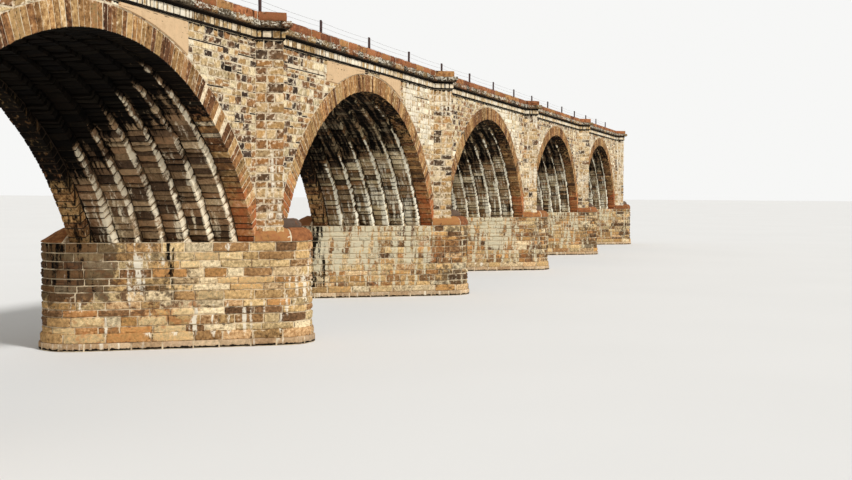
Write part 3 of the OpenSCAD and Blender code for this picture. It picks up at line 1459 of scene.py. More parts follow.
    def gather(self) -> tuple[Array, Array]:
        """All stones of one long wall, bay by bay, in the wall's own length and height.

        Returns:
            The corners of all stones and their heights.
        """
        left, right = (pilaster_plan(1)[i][0] - SIZE.pier_x(1) for i in (0, 2))
        parts = []
        for k in SIZE.all_bays:
            middle = SIZE.crown_x(k)
            parts.append(self.haunch(SIZE.pier_x(k) + right, middle))
            u, v = self.haunch(2 * middle - (SIZE.pier_x(k + 1) + left), middle)
            parts.append(((2 * middle - u)[:, [1, 0, 3, 2]], v[:, [1, 0, 3, 2]]))
        last, end = SIZE.pier_x(SIZE.bays + 1) + right, SIZE.end_x(1, -SIZE.half_width)
        for low, high in self.levels():
            parts.append(course(pairs(self.split(last, end, self.stone, 0.4)), low, high))
        return self.halved(*joined(parts))

    def build(self, pale: Callable[[Array, Array], Array]) -> tuple[Heap, Heap]:
        """Lays the stones of the front wall, their tone by chance and by place.

        Args:
            pale: How much paler the stones are at a place along the wall and a height.

        Returns:
            The stones, and the backs of the open joints and holes, painted dark as shade.
        """
        u, v, open_u, open_v = self.open_up(*self.gather())
        face = -SIZE.half_width
        start = SIZE.end_x(-1, face)
        wall = WallFace(Trace.through([(start, face), (SIZE.end_x(1, face), face)]))
        tone = self.tones(len(u))
        tone[:, 0] = np.clip(tone[:, 0]**1.05 * 0.94 + pale(u.mean(1), v.mean(1)), 0, 1)
        self.lay(wall, u - start, v, self.cut, tone, wander=0.0022)
        rubble = self.heap
        self.heap, self.weather = Heap(), no_weather
        self.lay(wall, open_u - start, open_v, self.back)
        return rubble, self.heap


@dataclass
class RenderCoats:
    """Smooth coats of lime render over the rubble beside the rings, cracked along the courses."""

    grain: Grain
    thick: float = 0.0056
    cell: float = 0.006
    rows: int = 22
    course: float = 0.021
    coats: tuple = ((1, -5.1, -4.6, 1.185), (2, -3.15, -2.6, 1.235), (2, -2.36, -1.98, 1.235))

    def build(self) -> Heap:
        """Height over the wall = thickness + slow noise - grooves where z / course is near whole.

        Each coat lies between the ring's back, or a given level, and the underside of the band.

        Returns:
            The closed coats.
        """
        heap = Heap()
        outer = SIZE.radius + SIZE.ring + 0.002
        for k, start, end, level in self.coats:
            middle = SIZE.crown_x(k)
            cols = int((end - start) / self.cell)
            across, up = np.meshgrid(np.linspace(0, 1, cols), np.linspace(0, 1, self.rows))
            spots = np.stack([start + across * (end - start), 0 * up, up], axis=-1)
            ragged = 0.03 * (self.grain.at(spots, (9, 9, 0.16)) - 0.5)
            x = start + across * (end - start) + ragged * np.abs(2 * across - 1)**6
            ring = SIZE.centre_z + np.sqrt(outer**2 - (x - middle)**2)
            sag = 0.016 * self.grain.at(np.stack([x, 0 * x, 0 * x], axis=-1), (0.05, 1, 1))
            low = np.maximum(ring, level + sag)
            z = low + up * (SIZE.wall_top - 0.003 - low)
            spots = np.stack([x, 0 * x, z], axis=-1)
            crack = np.abs(z / self.course + 0.5 * self.grain.at(spots, (0.1, 1, 0.1)) - 0.2)
            crack = ease(np.abs(crack % 1 - 0.5), 0.42, 0.5)
            broken = crack * ease(self.grain.at(spots, (0.09, 1, 0.03)), 0.35, 0.6)
            h = self.thick + 0.0016 * self.grain.at(spots, (0.05, 1, 0.03)) - 0.0012 * broken
            rim = np.zeros(x.shape, dtype=bool)
            rim[[0, -1]] = rim[:, [0, -1]] = True
            h = np.where(rim, -0.0008, h)
            soot = 0.05 + 0.2 * ease(up, 0.85, 1.0)
            heap.add_sheet(np.stack([x, -SIZE.half_width - h, z], axis=-1),
                           stains(soot, 0.0, 0.1 + 0.75 * broken, 0.0))
        return heap


@dataclass
class Pilasters(Masonry):
    """The corner of each shaft that stands out of the wall, built of quoins and short blocks."""

    cut: Cut = Cut(joint=0.0038, bevel=0.0028, proud=0.0019, rough=0.0024, tilt=0.0016,
                   jump=0.002)
    course: float = 0.037
    quoins: tuple = (((0.056, 0.08), (0.03, 0.05)), ((0.03, 0.046), (0.055, 0.085)))

    def build(self) -> Heap:
        """Lays each course: a quoin turns the corner, long and short by turns.

        Returns:
            The stones.
        """
        for k in SIZE.all_piers:
            line = Trace.through(pilaster_plan(k))
            turn, end = line.corners[0], line.length
            levels = self.split(SIZE.springing, SIZE.wall_top, self.course, 0.3)
            parts = []
            for i, (low, high) in enumerate(pairs(levels)):
                before, after = (self.rng.uniform(*arm) for arm in self.quoins[i % 2])
                joints = np.concatenate([self.split(0, turn - before, 0.055, 0.4),
                                         self.split(turn + after, end, 0.058, 0.4)])
                u, v = course(pairs(joints), low, high)
                parts.append((u, v, np.where((u[:, 0] < turn) & (u[:, 1] > turn), turn, np.nan)))
            u, v, middle = joined(parts)
            tone = self.tones(len(u))
            if k <= NEAR_PIERS:
                dark = (u.mean(1) > turn + 0.06) | (v.mean(1) > SIZE.wall_top - 0.09)
                tone[:, 0] = np.where(dark & (tone[:, 1] > 0.4), tone[:, 0] * 0.25,
                                      0.15 + tone[:, 0] * 0.8)
            else:
                tone[:, 0] = np.where(tone[:, 0] < 0.2, tone[:, 0] * 1.3,
                                      0.55 + tone[:, 0] * 0.45)
            self.lay(WallFace(line), u, v, self.cut, tone, middle, wander=0.002)
        return self.heap


@dataclass
class FaceRing(Masonry):
    """One face ring of thin stones that turn from the face on to the soffit."""

    cut: Cut = Cut(joint=0.0026, bevel=0.002, proud=0.002, rough=0.0014, tilt=0.0008,
                   jump=0.0012)
    plain: Rows = Rows((0.02, 0.045, 0.5, 0.965, 1.0, 1.5, 1.95, 1.98),
                       (-1, 0.8, 1, 0.95, 0.8, 1, 0.8, -1))
    turning: Rows = Rows((0.02, 0.045, 0.5, 0.965, 1.0, 1.5, 2.0, 2.6, 2.97),
                         (-1, 0.8, 1, 0.95, 0.8, 1, 0.8, 0.8, -1))
    least_step: float = 0.007
    stones: int = 93

    def build(self, k: int) -> Heap:
        """Lays the ring of bay k; on the left its stones turn on to the back step as well.

        Args:
            k: Number of the bay.

        Returns:
            The stones.
        """
        face = ArchFace(SIZE.crown_x(k), SIZE.rib_y(0), face=SIZE.ring)
        foot = SIZE.foot_angle(SIZE.radius + SIZE.ring)
        low, high = (-0.007, 0.015) if k == 1 else (-0.0065, 0.0065)
        u = pairs(np.concatenate([self.split(-foot, low, 2 * foot / self.stones, 0.3),
                                  self.split(high, foot, 2 * foot / self.stones, 0.3)]))
        middle = u.mean(axis=1)
        tone = self.tones(len(u))
        crown = np.argmin(np.abs(middle))
        if k == 1:
            patched = (middle > 0.48) & (middle < 0.74) & (tone[:, 1] > 0.62)
            tone[:, 0] = np.where(patched, 1.0, tone[:, 0] * 0.88)
            tone[crown], tone[crown + 1] = (0.0, 0.1), (0.05, 0.9)
        else:
            tone[:, 0] *= 0.78
            tone[crown], tone[crown + 1] = (0.88, 0.9), (0.1, 0.3)
        tone[crown - 1] = (0.62, 0.4)
        stepped = SIZE.step * np.sin(-middle) > self.least_step
        for pick, rows in ((~stepped, self.plain), (stepped, self.turning)):
            self.wrap(face, u[pick], rows, self.cut, tone[pick], SIZE.radius)
        return self.heap


@dataclass
class Barrel(Masonry):
    """The six inner ribs of an arch, each stepped sideways from the one before."""

    cut: Cut = Cut(joint=0.004, bevel=0.0026, proud=0.002, rough=0.006, tilt=0.004,
                   jump=0.008)
    plain: Rows = Rows((1.02, 1.06, 1.5, 1.94, 1.98), (-1, 0.8, 1, 0.8, -1))
    front: Rows = Rows((0.03, 0.3, 0.65, 1.0, 1.14, 1.55, 1.94, 1.98),
                       (-1, 0.9, 1, 0.8, 1, 1, 0.8, -1))
    back: Rows = Rows((1.02, 1.06, 1.5, 1.86, 2.0, 2.55, 2.97), (-1, 0.8, 1, 1, 0.8, 0.9, -1))
    least_step: float = 0.006
    stone: float = 0.034

    def build(self, k: int, weather: Callable[[int, Array, Array], Array]) -> Heap:
        """Lays each rib of bay k; a stone turns on to the step that faces out on its side.

        Args:
            k: Number of the bay.
            weather: Stains by the rib's number and by place.

        Returns:
            The stones.
        """
        foot = SIZE.foot_angle(SIZE.radius + SIZE.step * 0.9)
        for j in range(1, SIZE.ribs - 1):
            face = ArchFace(SIZE.bay_x(k) + SIZE.rib_x(j), SIZE.rib_y(j))
            u = pairs(self.split(-foot, foot, self.stone / SIZE.radius, 0.35))
            lean = SIZE.step * np.sin(u.mean(axis=1))
            tone = self.tones(len(u))
            self.weather = partial(weather, j)
            for pick, rows in ((np.abs(lean) <= self.least_step, self.plain),
                               (lean > self.least_step, self.front),
                               (lean < -self.least_step, self.back)):
                self.wrap(face, u[pick], rows, self.cut, tone[pick], SIZE.radius)
        return self.heap


@dataclass
class PierBase(Masonry):
    """The coursed base of one pier, round at both noses."""

    cut: Cut = Cut(joint=0.0028, bevel=0.0026, proud=0.0026, rough=0.005, tilt=0.0018,
                   jump=0.004, columns=5, rows=3)
    course: float = 0.0355
    stone: float = 0.112

    def build(self, k: int) -> Heap:
        """Lays the courses of pier k round its closed plan, breaking joints at random.

        Args:
            k: Number of the pier.

        Returns:
            The stones.
        """
        line = Trace.round_ended(k, SIZE.base_out)
        ledge = SIZE.footing_high + SIZE.plinth_high
        parts = []
        for low, high in pairs(self.split(ledge, SIZE.springing, self.course, 0.24)):
            parts.append(course(self.split_round(line, self.stone, 0.42), low, high))
        u, v = joined(parts)
        self.lay(WallFace(line), u, v, self.cut, wander=0.0011)
        return self.heap


@dataclass(kw_only=True)
class GroundCourse(Masonry):
    """One heavy course round a pier, whose stones turn on to the ledge on top."""

    margin: float
    bottom: float
    high: float
    rounding: float
    ledge: float
    cut: Cut
    stone: float
    rows: Rows = Rows((0.03, 0.12, 0.55, 1.0, 1.5, 2.0, 2.9, 3.0),
                      (-1, 0.8, 1.0, 1.0, 0.9, 0.8, 0.5, -1))

    def build(self) -> Heap:
        """Lays the course round every pier.

        Returns:
            The stones.
        """
        profile = Profile.rounded(self.high, self.rounding, self.ledge)
        for k in SIZE.all_piers:
            line = Trace.round_ended(k, self.margin)
            u = self.split_round(line, self.stone, 0.3)
            self.wrap(CapFace(line, self.bottom, profile), u, self.rows, self.cut)
        return self.heap


@dataclass
class CutwaterCaps(Masonry):
    """The caps over the noses: round ones in two tiers in front, and sloping ones at the back."""

    cut: Cut = Cut(joint=0.0024, bevel=0.004, proud=0.0026, rough=0.003, tilt=0.0008,
                   columns=7)
    stone: float = 0.17
    rounded: Rows = Rows((0.03, 0.3, 1.0, 1.25, 1.5, 1.75, 2.0, 2.85, 2.95),
                         (-1, 0.8, 1, 1, 1, 1, 1, 0.6, -1))
    sloped: Rows = Rows((0.05, 0.5, 1.0, 1.3, 1.65, 2.0, 2.5, 2.9),
                        (-1, 0.8, 1, 1, 1, 1, 0.6, -1))

    def tier(self, radius: float, bottom: float, profile: Profile, rows: Rows) -> Heap:
        """Lays one cap on every pier, from the wall on its left round the nose to its right.

        Args:
            radius: Outer radius of the cap.
            bottom: Height of its underside.
            profile: Its half profile.
            rows: Rows of its stones.

        Returns:
            The stones.
        """
        self.heap = Heap()
        half, along = SIZE.shaft
        cos, sin = SIZE.turn
        straight = along - (SIZE.half_width - radius * sin) / cos if radius > half else 0.0
        beyond = math.asin((along * cos - SIZE.half_width) / radius)
        start = -(radius * math.pi / 2 + straight)
        end = radius * (math.pi / 2 - SIZE.skew + beyond)
        for k in SIZE.all_piers:
            face = CapFace(Trace.round_ended(k, radius - half), bottom, profile)
            u = pairs(self.split(start, end, self.stone, 0.25))
            self.wrap(face, u, rows, self.cut)
        return self.heap

    @property
    def lower(self) -> float:
        """Outer radius of the lower caps."""
        return SIZE.shaft[0] + SIZE.base_out + SIZE.cap_out

    def build_lower(self) -> Heap:
        """Lays the round lower caps in front."""
        profile = Profile.rounded(SIZE.cap_high, SIZE.cap_round, 0.02)
        return self.tier(self.lower, SIZE.springing, profile, self.rounded)

    def build_upper(self) -> Heap:
        """Lays the round upper caps in front.

        Returns:
            The stones.
        """
        radius = self.lower - SIZE.cap_round - SIZE.hood_back
        top = radius - SIZE.hood_round - 0.004
        profile = Profile.rounded(SIZE.hood_high, SIZE.hood_round, top)
        return self.tier(radius, SIZE.springing + SIZE.cap_high, profile, self.rounded)

    def build_sloped(self) -> Heap:
        """Lays the sloping caps in front, to be given half a turn to the back.

        Returns:
            The stones.
        """
        profile = Profile.sloped(SIZE.slope_edge, SIZE.cap_high, self.lower - SIZE.slope_top,
                                 SIZE.slope_top - 0.004)
        return self.tier(self.lower, SIZE.springing, profile, self.sloped)


@dataclass
class Band(Masonry):
    """The pale course of narrow headers over the arches."""

    cut: Cut = Cut(joint=0.004, bevel=0.0025, proud=0.0014, rough=0.0012, tilt=0.001)
    stone: float = 0.04
    # Through these two gaps the band's body shows, painted near black as shadow.
    gap_below: float = 0.006
    gap_above: float = 0.009
    mixed: tuple = (-4.7, -3.2)

    def build(self) -> Heap:
        """Lays the headers along the front line of the course, between two open joints where the
        band's body shows through, painted near black as the shadow under the cornice and the band.

        Returns:
            The stones.
        """
        line = course_line(SIZE.band_out)
        sides, middle = self.joints_along(line, self.stone, 0.45)
        u, v = course(sides, SIZE.wall_top + self.gap_below, SIZE.cornice_bottom - self.gap_above)
        tone = self.tones(len(u))
        x = line.at(sides.mean(axis=1))[0][:, 0]
        mixed = (x > self.mixed[0]) & (x < self.mixed[1])
        tone[:, 0] = np.where(mixed, tone[:, 0] * 0.8, 0.35 + tone[:, 0] * 0.65)
        self.lay(WallFace(line), u, v, self.cut, tone, middle, wander=0.0008)
        return self.heap


@dataclass(kw_only=True)
class TopCourse(Masonry):
    """A course whose stones turn over its top: the cornice, or the parapet with its back."""

    out: float
    bottom: float
    high: float
    back_y: float
    stone: float
    cut: Cut
    has_back: bool

    def build(self) -> Heap:
        """Lays the stones along the front line of the course.

        Returns:
            The stones.
        """
        line = course_line(self.out)
        u, middle = self.joints_along(line, self.stone, 0.3)
        high = self.high
        rows = Rows((0.001, 0.0045, high / 2, high, high + 0.35, high + 0.9, high + 0.97),
                    (-1, 0.8, 1, 0.75, 0.9, 0.8, -1))
        if self.has_back:
            rows = Rows((0.001, 0.0045, high / 2, high, high + 0.5, high + 1, high + 1.5,
                         high + 1.97), (-1, 0.8, 1, 0.75, 1, 0.8, 0.9, -1))
        face = CourseFace(line, self.bottom, high, self.back_y)
        self.wrap(face, u, rows, self.cut, middle=middle)
        return self.heap


def tube(start: int, levels: int, sides: int) -> list:
    """Faces of a closed tube whose points go round it, level by level.

    Args:
        start: Number of its first point.
        levels: Number of levels.
        sides: Number of points on each level.

    Returns:
        The bottom, the top and the sides.
    """
    ring = start + np.arange(levels * sides).reshape(levels, sides)
    after = np.roll(ring, -1, axis=1)
    quads = np.stack([ring[:-1], after[:-1], after[1:], ring[1:]], axis=-1)
    return [ring[0, ::-1].tolist(), ring[-1].tolist()] + quads.reshape(-1, 4).tolist()


@dataclass
class Railing(Masonry):
    """Thin weathered posts behind the parapet, with three fine wires through them."""

    pitch: float = 0.72
    offset: float = 0.46
    width: float = 0.0125
    depth: float = 0.0115
    high: float = 0.084
    wires: int = 3
    wire: float = 0.0011
    sag: float = 0.004
    sides: int = 6
    steps: int = 6

    @property
    def places(self) -> Array:
        """Places of the posts along the deck: the offset plus whole pitches, within both ends.

        Returns:
            The places.
        """
        reach = SIZE.half_reach - SIZE.half_width * math.tan(SIZE.skew) - 0.013
        first = math.ceil((-reach - self.offset) / self.pitch)
        last = math.floor((reach - self.offset) / self.pitch)
        return self.offset + self.pitch * np.arange(first, last + 1)

    @property
    def middle_y(self) -> float:
        """Depth of the posts' middle line."""
        return SIZE.parapet_thick - SIZE.half_width - SIZE.parapet_out + 0.006

    def posts(self) -> tuple[Array, list]:
        """Each post is four levels of four corners that lean a little, with a slanted top.

        Returns:
            The points and the faces.
        """
        x = self.places[:, None, None]
        level = np.array([0, 0.4, 0.75, 1.0])[None, :, None]
        corner = np.array([[-1, -1], [1, -1], [1, 1], [-1, 1]])[None, None]
        lean = self.rng.uniform(-0.004, 0.004, (len(self.places), 1, 1))
        slant = self.rng.uniform(0.002, 0.007, (len(self.places), 1, 1))
        worn = self.rng.uniform(0.86, 1.0, (len(self.places), 4, 1))
        spots_x = x + lean * level + corner[..., 0] * self.width / 2 * worn
        spots_y = self.middle_y + corner[..., 1] * self.depth / 2 * worn
        top = SIZE.parapet_high + self.high - 0.001
        spots_z = SIZE.cornice_top - 0.001 + level * top
        spots_z = spots_z - slant * (level == 1) * (corner[..., 0] > 0)
        points = np.stack(np.broadcast_arrays(spots_x, spots_y, spots_z), axis=-1).reshape(-1, 3)
        starts = range(0, len(points), 16)
        return points, [face for start in starts for face in tube(start, 4, 4)]

    def strands(self) -> tuple[Array, list]:
        """Each wire is a tube that hangs by sag 4 t (1 - t) at the share t between two posts.

        Returns:
            The points and the faces.
        """
        ends = self.places
        along = np.linspace(ends[0], ends[-1], self.steps * (len(ends) - 1) + 1)
        part = ((along - ends[0]) / self.pitch) % 1
        turn = np.arange(self.sides) * math.pi / (self.sides / 2)
        gap = self.high / (self.wires + 0.5)
        points, faces = [], []
        for wire in range(self.wires):
            z = SIZE.parapet_top + (wire + 1) * gap - self.sag * 4 * part * (1 - part)
            ring_y = self.middle_y + self.wire / 2 * np.cos(turn)
            ring_z = z[:, None] + self.wire / 2 * np.sin(turn)
            ring = np.stack(np.broadcast_arrays(along[:, None], ring_y[None, :], ring_z), axis=-1)
            points.append(ring.reshape(-1, 3))
            faces += tube(wire * len(along) * self.sides, len(along), self.sides)
        return np.concatenate(points), [face[::-1] for face in faces]

    def build(self, side: Side, iron: Material, wire: Material) -> None:
        """Makes the posts and wires of one side, the back as the front after half a turn.

        Args:
            side: Front or back.
            iron: Finish of the posts.
            wire: Finish of the wires.
        """
        for name, (points, faces), finish in (("posts", self.posts(), iron),
                                              ("wires", self.strands(), wire)):
            mesh = bpy.data.meshes.new(f"railing_{name}_{side}")
            mesh.from_pydata((points * side.turn).tolist(), [], faces)
            mesh.materials.append(finish)
            for layer in Layer:
                values = mesh.attributes.new(layer, "FLOAT_COLOR", "POINT").data
                values.foreach_set("color", np.zeros(4 * len(points)))
            piece = place(mesh.name, mesh)
            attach(piece, "root")
            if name == "posts":
                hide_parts(f"railing_{side}")
            LOG.info("%s: %d points", mesh.name, len(points))


@dataclass
class EndWall(Masonry):
    """The coursed stones of the plain face that closes the left end."""

    cut: Cut = Cut(joint=0.006, bevel=0.0035, proud=0.0014, rough=0.001, tilt=0.001)
    course: float = 0.041
    stone: float = 0.078
    clear: float = 0.001

    def build(self) -> Heap:
        """Lays the courses from the back of the bridge to the front.

        Returns:
            The stones.
        """
        line = Trace.through([(SIZE.end_x(-1, y), y) for y in (SIZE.half_width, -SIZE.half_width)])
        parts = []
        for low, high in pairs(self.split(SIZE.springing, SIZE.wall_top, self.course, 0.2)):
            joints = self.split(self.clear, line.length - self.clear, self.stone, 0.35)
            parts.append(course(pairs(joints), low, high))
        u, v = joined(parts)
        self.lay(WallFace(line), u, v, self.cut, wander=0.001)
        return self.heap


@dataclass
class GravelBed:
    """The gravel between the two parapets, laid in closed lengths with rough tops."""

    grain: Grain
    lengths: int = 24
    cell: float = 0.013
    skirt: float = 0.0006
    clear: float = 0.002
    pebble: float = 0.017
    chip: float = 0.009
    rough: float = 0.0045

    def build(self) -> Heap:
        """z = shoulder slope of y, plus two sizes of noise; x follows the skewed ends.

        Returns:
            The closed lengths of gravel.
        """
        heap = Heap()
        half = SIZE.inner_wall - self.clear
        rows = int(2 * half / self.cell)
        cols = int(2 * SIZE.half_reach / self.lengths / self.cell)
        y = np.linspace(-half, half, rows)
        for first, last in pairs(np.linspace(0, 1, self.lengths + 1)):
            part, depth = np.meshgrid(np.linspace(first, last, cols), y)
            lean = -depth * math.tan(SIZE.skew)
            x = (2 * part - 1) * (SIZE.half_reach - self.clear) + lean
            slope = np.clip((SIZE.inner_wall - np.abs(depth)) / SIZE.bed_shoulder, 0, 1)
            spots = np.stack([x, depth, SIZE.cornice_top + slope * SIZE.bed_crown], axis=-1)
            bump = self.grain.at(spots, (self.pebble, self.pebble, 1))
            bump = bump + 0.6 * self.grain.at(spots, (self.chip, self.chip, 1))
            spots[..., 2] += 0.001 + self.rough * bump
            rim = np.pad(spots, ((1, 1), (1, 1), (0, 0)), mode="edge")
            rim[0, :, 1] -= self.skirt
            rim[-1, :, 1] += self.skirt
            rim[:, 0, 0] -= self.skirt
            rim[:, -1, 0] += self.skirt
            border = np.ones(rim.shape[:2], dtype=bool)
            border[1:-1, 1:-1] = False
            rim[border, 2] = SIZE.cornice_top - self.clear
            heap.add_sheet(rim, no_weather(rim, border))
        return heap


@dataclass
class Climate:
    """Where soot, lime, damp, warm stone and painted shade lie, as shares of the surface by place.

    Each share is a plain amount, plus amounts that are eased by height, by place along the
    deck or by slow noise. Bay 1 and the first two piers are the near ones of the photograph.
    The soot and damp shares also carry painted shade in the arches, under the band and on the
    pier bases, and the lime share painted sunlight on the rib steps.
    """

    grain: Grain
    washed: tuple = (-2.25, -1.9, -1.4, -1.25)
    tanned: tuple = (-4.6, -4.3, -3.5, -3.2)
    bare: tuple = (-4.6, -4.4, -3.4, -3.15)
    clean: tuple = (-4.4, -4.3, -3.75, -3.65)
    far: tuple = (-1.3, 1.0)
    last: tuple = (1.15, 1.25)
    # Soot and painted shade on the ring soffits: least amount, extra, and the rise over which the
    # extra comes in.
    near_ring: tuple = (0.04, 1.5, 0.42, 0.96)
    far_ring: tuple = (0.1, 0.85, 0.4, 0.95)
    hidden_ring: tuple = (0.62, 0.5, 0.2, 0.5)
    # Rise at which the soot and painted shade of the crown begin, on each rib from the front.
    soot_and_shade_starts: tuple = (0.92, 0.85, 0.79, 0.73, 0.66, 0.58)
    drips: tuple = (-0.421, -0.265, -0.19, -0.124, -0.046, 0.053, 0.147, 0.335)

    def rain(self, x: Array, z: Array) -> Array:
        """How far the upper wall beside the second pier is washed pale."""
        return within(x, self.washed) * ease(z, 0.85, 1.05)

    def pale(self, x: Array, z: Array) -> Array:
        """How much paler the stones of the long walls are than by chance.

        Args:
            x: Place along the wall.
            z: Height.

        Returns:
            What is added to each stone's tone: slow noise, and paler far, darker near stretches.
        """
        cloud = self.grain.at(np.stack([x, 0 * x, z], axis=-1), (0.45, 1.0, 0.3)) - 0.5
        far = 0.36 * ease(x, *self.far) - 0.32 * ease(x, *self.last)
        return 0.3 * cloud + 0.2 * self.rain(x, z) + far - 0.13 * within(x, self.tanned)

    def wall(self, spots: Array, part: Array) -> Array:
        """Open walls: soot in streaks near the top, a painted shadow under the band, lime and damp
        in long upright drifts.

        Args:
            spots: Points.
            part: Not used here.

        Returns:
            The stains.
        """
        x, z = spots[..., 0], spots[..., 2]
        streak = self.grain.at(spots, (0.09, 0.3, 0.5))
        cloud = self.grain.at(spots, (0.28, 0.4, 0.22))
        top = ease(z, SIZE.wall_top - 0.09, SIZE.wall_top)
        soot = 0.03 + 0.2 * top * streak + 0.06 * ease(streak, 0.75, 0.95)
        # Painted shadow: a dark line along the top course, just under the band.
        soot += 0.9 * ease(z, SIZE.wall_top - 0.016, SIZE.wall_top - 0.004)
        far = ease(x, *self.far) - 0.5 * ease(x, *self.last)
        lime = 0.2 + 0.34 * ease(cloud, 0.5, 0.85) + 0.36 * far + 0.26 * self.rain(x, z)
        lime *= 1 - 0.9 * within(x, self.clean) * ease(z, 1.14, 1.22)
        damp = 0.06 + 0.34 * ease(self.grain.at(spots, (0.2, 0.4, 0.26)), 0.62, 0.95)
        warm = 0.1 + 0.4 * ease(self.grain.at(spots, (0.36, 0.4, 0.3)), 0.55, 0.9)
        return stains(soot, lime, damp, warm * (1 - self.rain(x, z)))

    def ring(self, k: int, hidden: bool, spots: Array, part: Array) -> Array:
        """Face rings: clean faces, and soffits that darken to the crown with soot and painted
        shade.

        Args:
            k: Number of the bay.
            hidden: True for the ring at the back, whose soffit shows dark from the front as painted
                shade.
            spots: Points.
            part: Place along the profile.

        Returns:
            The stains.
        """
        rise = SIZE.risen(spots[..., 2])
        soffit = ease(part, 0.965, 1.0)
        streak = self.grain.at(spots, (0.07, 0.3, 0.2))
        least, more, start, end = self.near_ring if k == 1 else self.far_ring
        if hidden:
            least, more, start, end = self.hidden_ring
        # Soot and painted shade: the soffit darkens towards the crown, as the shadow inside the
        # arch.
        soot = 0.02 + soffit * (least + more * ease(rise, start, end))
        lime = 0.05 + 0.3 * ease(streak, 0.6, 0.9) * (1 - soffit) + 0.1 * soffit
        warm = 0.1 + (0.1 if hidden else 0.8) * ease(1 - rise, 0.4, 0.9)
        # Painted shade: the damp on the soffit above its lit foot.
        damp = 0.08 + 0.3 * ease(streak, 0.4, 0.1) + 0.55 * soffit * ease(rise, 0.12, 0.4)
        return stains(soot, lime, damp, warm)

    def rib(self, k: int, j: int, spots: Array, part: Array) -> Array:
        """Inner ribs: lime crust and painted sunlight on the outer part of each step, soot and
        painted shade on its inner part, on the soffits and towards the crown.

        The soot and painted shade start lower on each rib further in, and the near bay is the
        blackest.

        Args:
            k: Number of the bay.
            j: Number of the rib from the front.
            spots: Points.
            part: Place along the profile.

        Returns:
            The stains.
        """
        near = 1.0 if k == 1 else 0.0
        black = self.soot_and_shade_starts[j - 1] + 0.08 * (1 - near)
        rise = SIZE.risen(spots[..., 2])
        ragged = self.grain.at(spots, (0.035, 0.035, 0.035)) - 0.5
        step = np.maximum(1 - ease(part + 0.16 * ragged, 1.0, 1.1), ease(part, 1.92, 2.0))
        streak = self.grain.at(spots, (0.07, 0.08, 0.35))
        cloud = self.grain.at(spots, (0.16, 0.2, 0.12))
        drift = rise + 0.16 * (cloud - 0.5)
        taper = 0.55 * ease(drift, black - 0.4, black)
        # Lime crust and painted sunlight on the outer part of each step; its inner part gets
        # painted shade.
        crust = ease(part + 0.5 * ragged - taper, *((0.0, 0.4) if k == 1 else (0.45, 0.75)))
        crust *= part < 1.5
        steady = rise + 0.05 * (cloud - 0.5)
        # Soot and painted shade: the crown and the vault go dark above the start of each rib.
        crown = 1.7 * near * ease(steady, black - 0.15, black + 0.07)
        crown += 0.93 * (1 - near) * ease(drift, black - 0.2, black + 0.04)
        vault = 1.4 * near * ease(drift, black - 0.47, black + 0.04)
        vault += 0.84 * (1 - near) * ease(drift, black - 0.54, black - 0.18)
        crown = np.where(step > 0.5, crown, vault)
        low = ease(1 - rise, 0.6, 0.95)
        if k == 1:
            body = 0.3 + 0.8 * (0.47 - streak) - 0.1 * low
            lime_body = 0.2 + 0.3 * ease(streak, 0.45, 0.8) + 0.14 * low
        else:
            body = 0.22 + 0.9 * (0.5 - streak) - 0.24 * low + 0.3 * ease(part, 1.4, 1.1)
            lime_body = 0.5 + 0.5 * (streak - 0.5) + 0.12 * low
        soot = (1 - step) * body + step * (0.7 - 0.7 * crust)
        soot = np.maximum(soot, crown)
        # Painted sunlight: the step crust is brightened beyond plain lime, most in the far bays.
        bright = 0.84 + (0.15 if j == 1 else 0.0) if k == 1 else 1.3
        lime = step * crust * (bright + 0.5 * ragged) + (1 - step) * lime_body
        lime *= 1 - (0.92 - 0.32 * near) * np.minimum(crown, 1.0)
        damp = 0.15 + 0.35 * ease(cloud, 0.5, 0.8) * (1 - step)
        # In the far bays the damp stain carries the crown's painted shade too.
        damp = np.maximum(damp, 1.3 * (1 - near) * (1 - step) * crown)
        return stains(soot, lime, damp, 0.1 + 0.2 * ease(1 - rise, 0.5, 0.9))

    def base(self, k: int, spots: Array, part: Array) -> Array:
        """Pier bases: painted shade on the upper courses away from the nose, lime wash and drips
        low down.

        A drip or a run is a bell curve, exp(-(distance / width)^2), of the place along the side.

        Args:
            k: Number of the pier.
            spots: Points.
            part: Not used here.

        Returns:
            The stains.
        """
        z = spots[..., 2]
        cos, sin = SIZE.turn
        along = -(spots[..., 0] - SIZE.pier_x(k)) * sin + spots[..., 1] * cos
        streak = self.grain.at(spots, (0.05, 0.05, 0.5))
        cloud = self.grain.at(spots, (0.2, 0.2, 0.14))
        if k <= NEAR_PIERS:
            # Painted shade: the upper courses towards the back of the near piers, under the arch,
            # darken through soot and damp.
            upper = ease(z, 0.18, 0.4)
            shaded_far_end = ease(along, 0.24, 0.36) * ease(z, 0.17, 0.25)
            wash = np.exp(-((along - 0.2) / 0.075)**2) * ease(z, 0.16, 0.22)
            soot = 0.1 + 0.26 * shaded_far_end + 0.16 * upper * ease(cloud, 0.5, 0.75)
            soot += 0.6 * np.exp(-((along - 0.06) / 0.022)**2) * ease(z, 0.1, 0.3)
            damp = 0.2 + 0.85 * shaded_far_end + 0.25 * upper * ease(along, -0.2, 0.1)
            damp += 0.3 * ease(cloud, 0.45, 0.2)
            lime = 0.16 + 0.3 * ease(cloud, 0.5, 0.8) * (1 - shaded_far_end)
            lime += 0.34 * wash * ease(z, 0.42, 0.38)
        else:
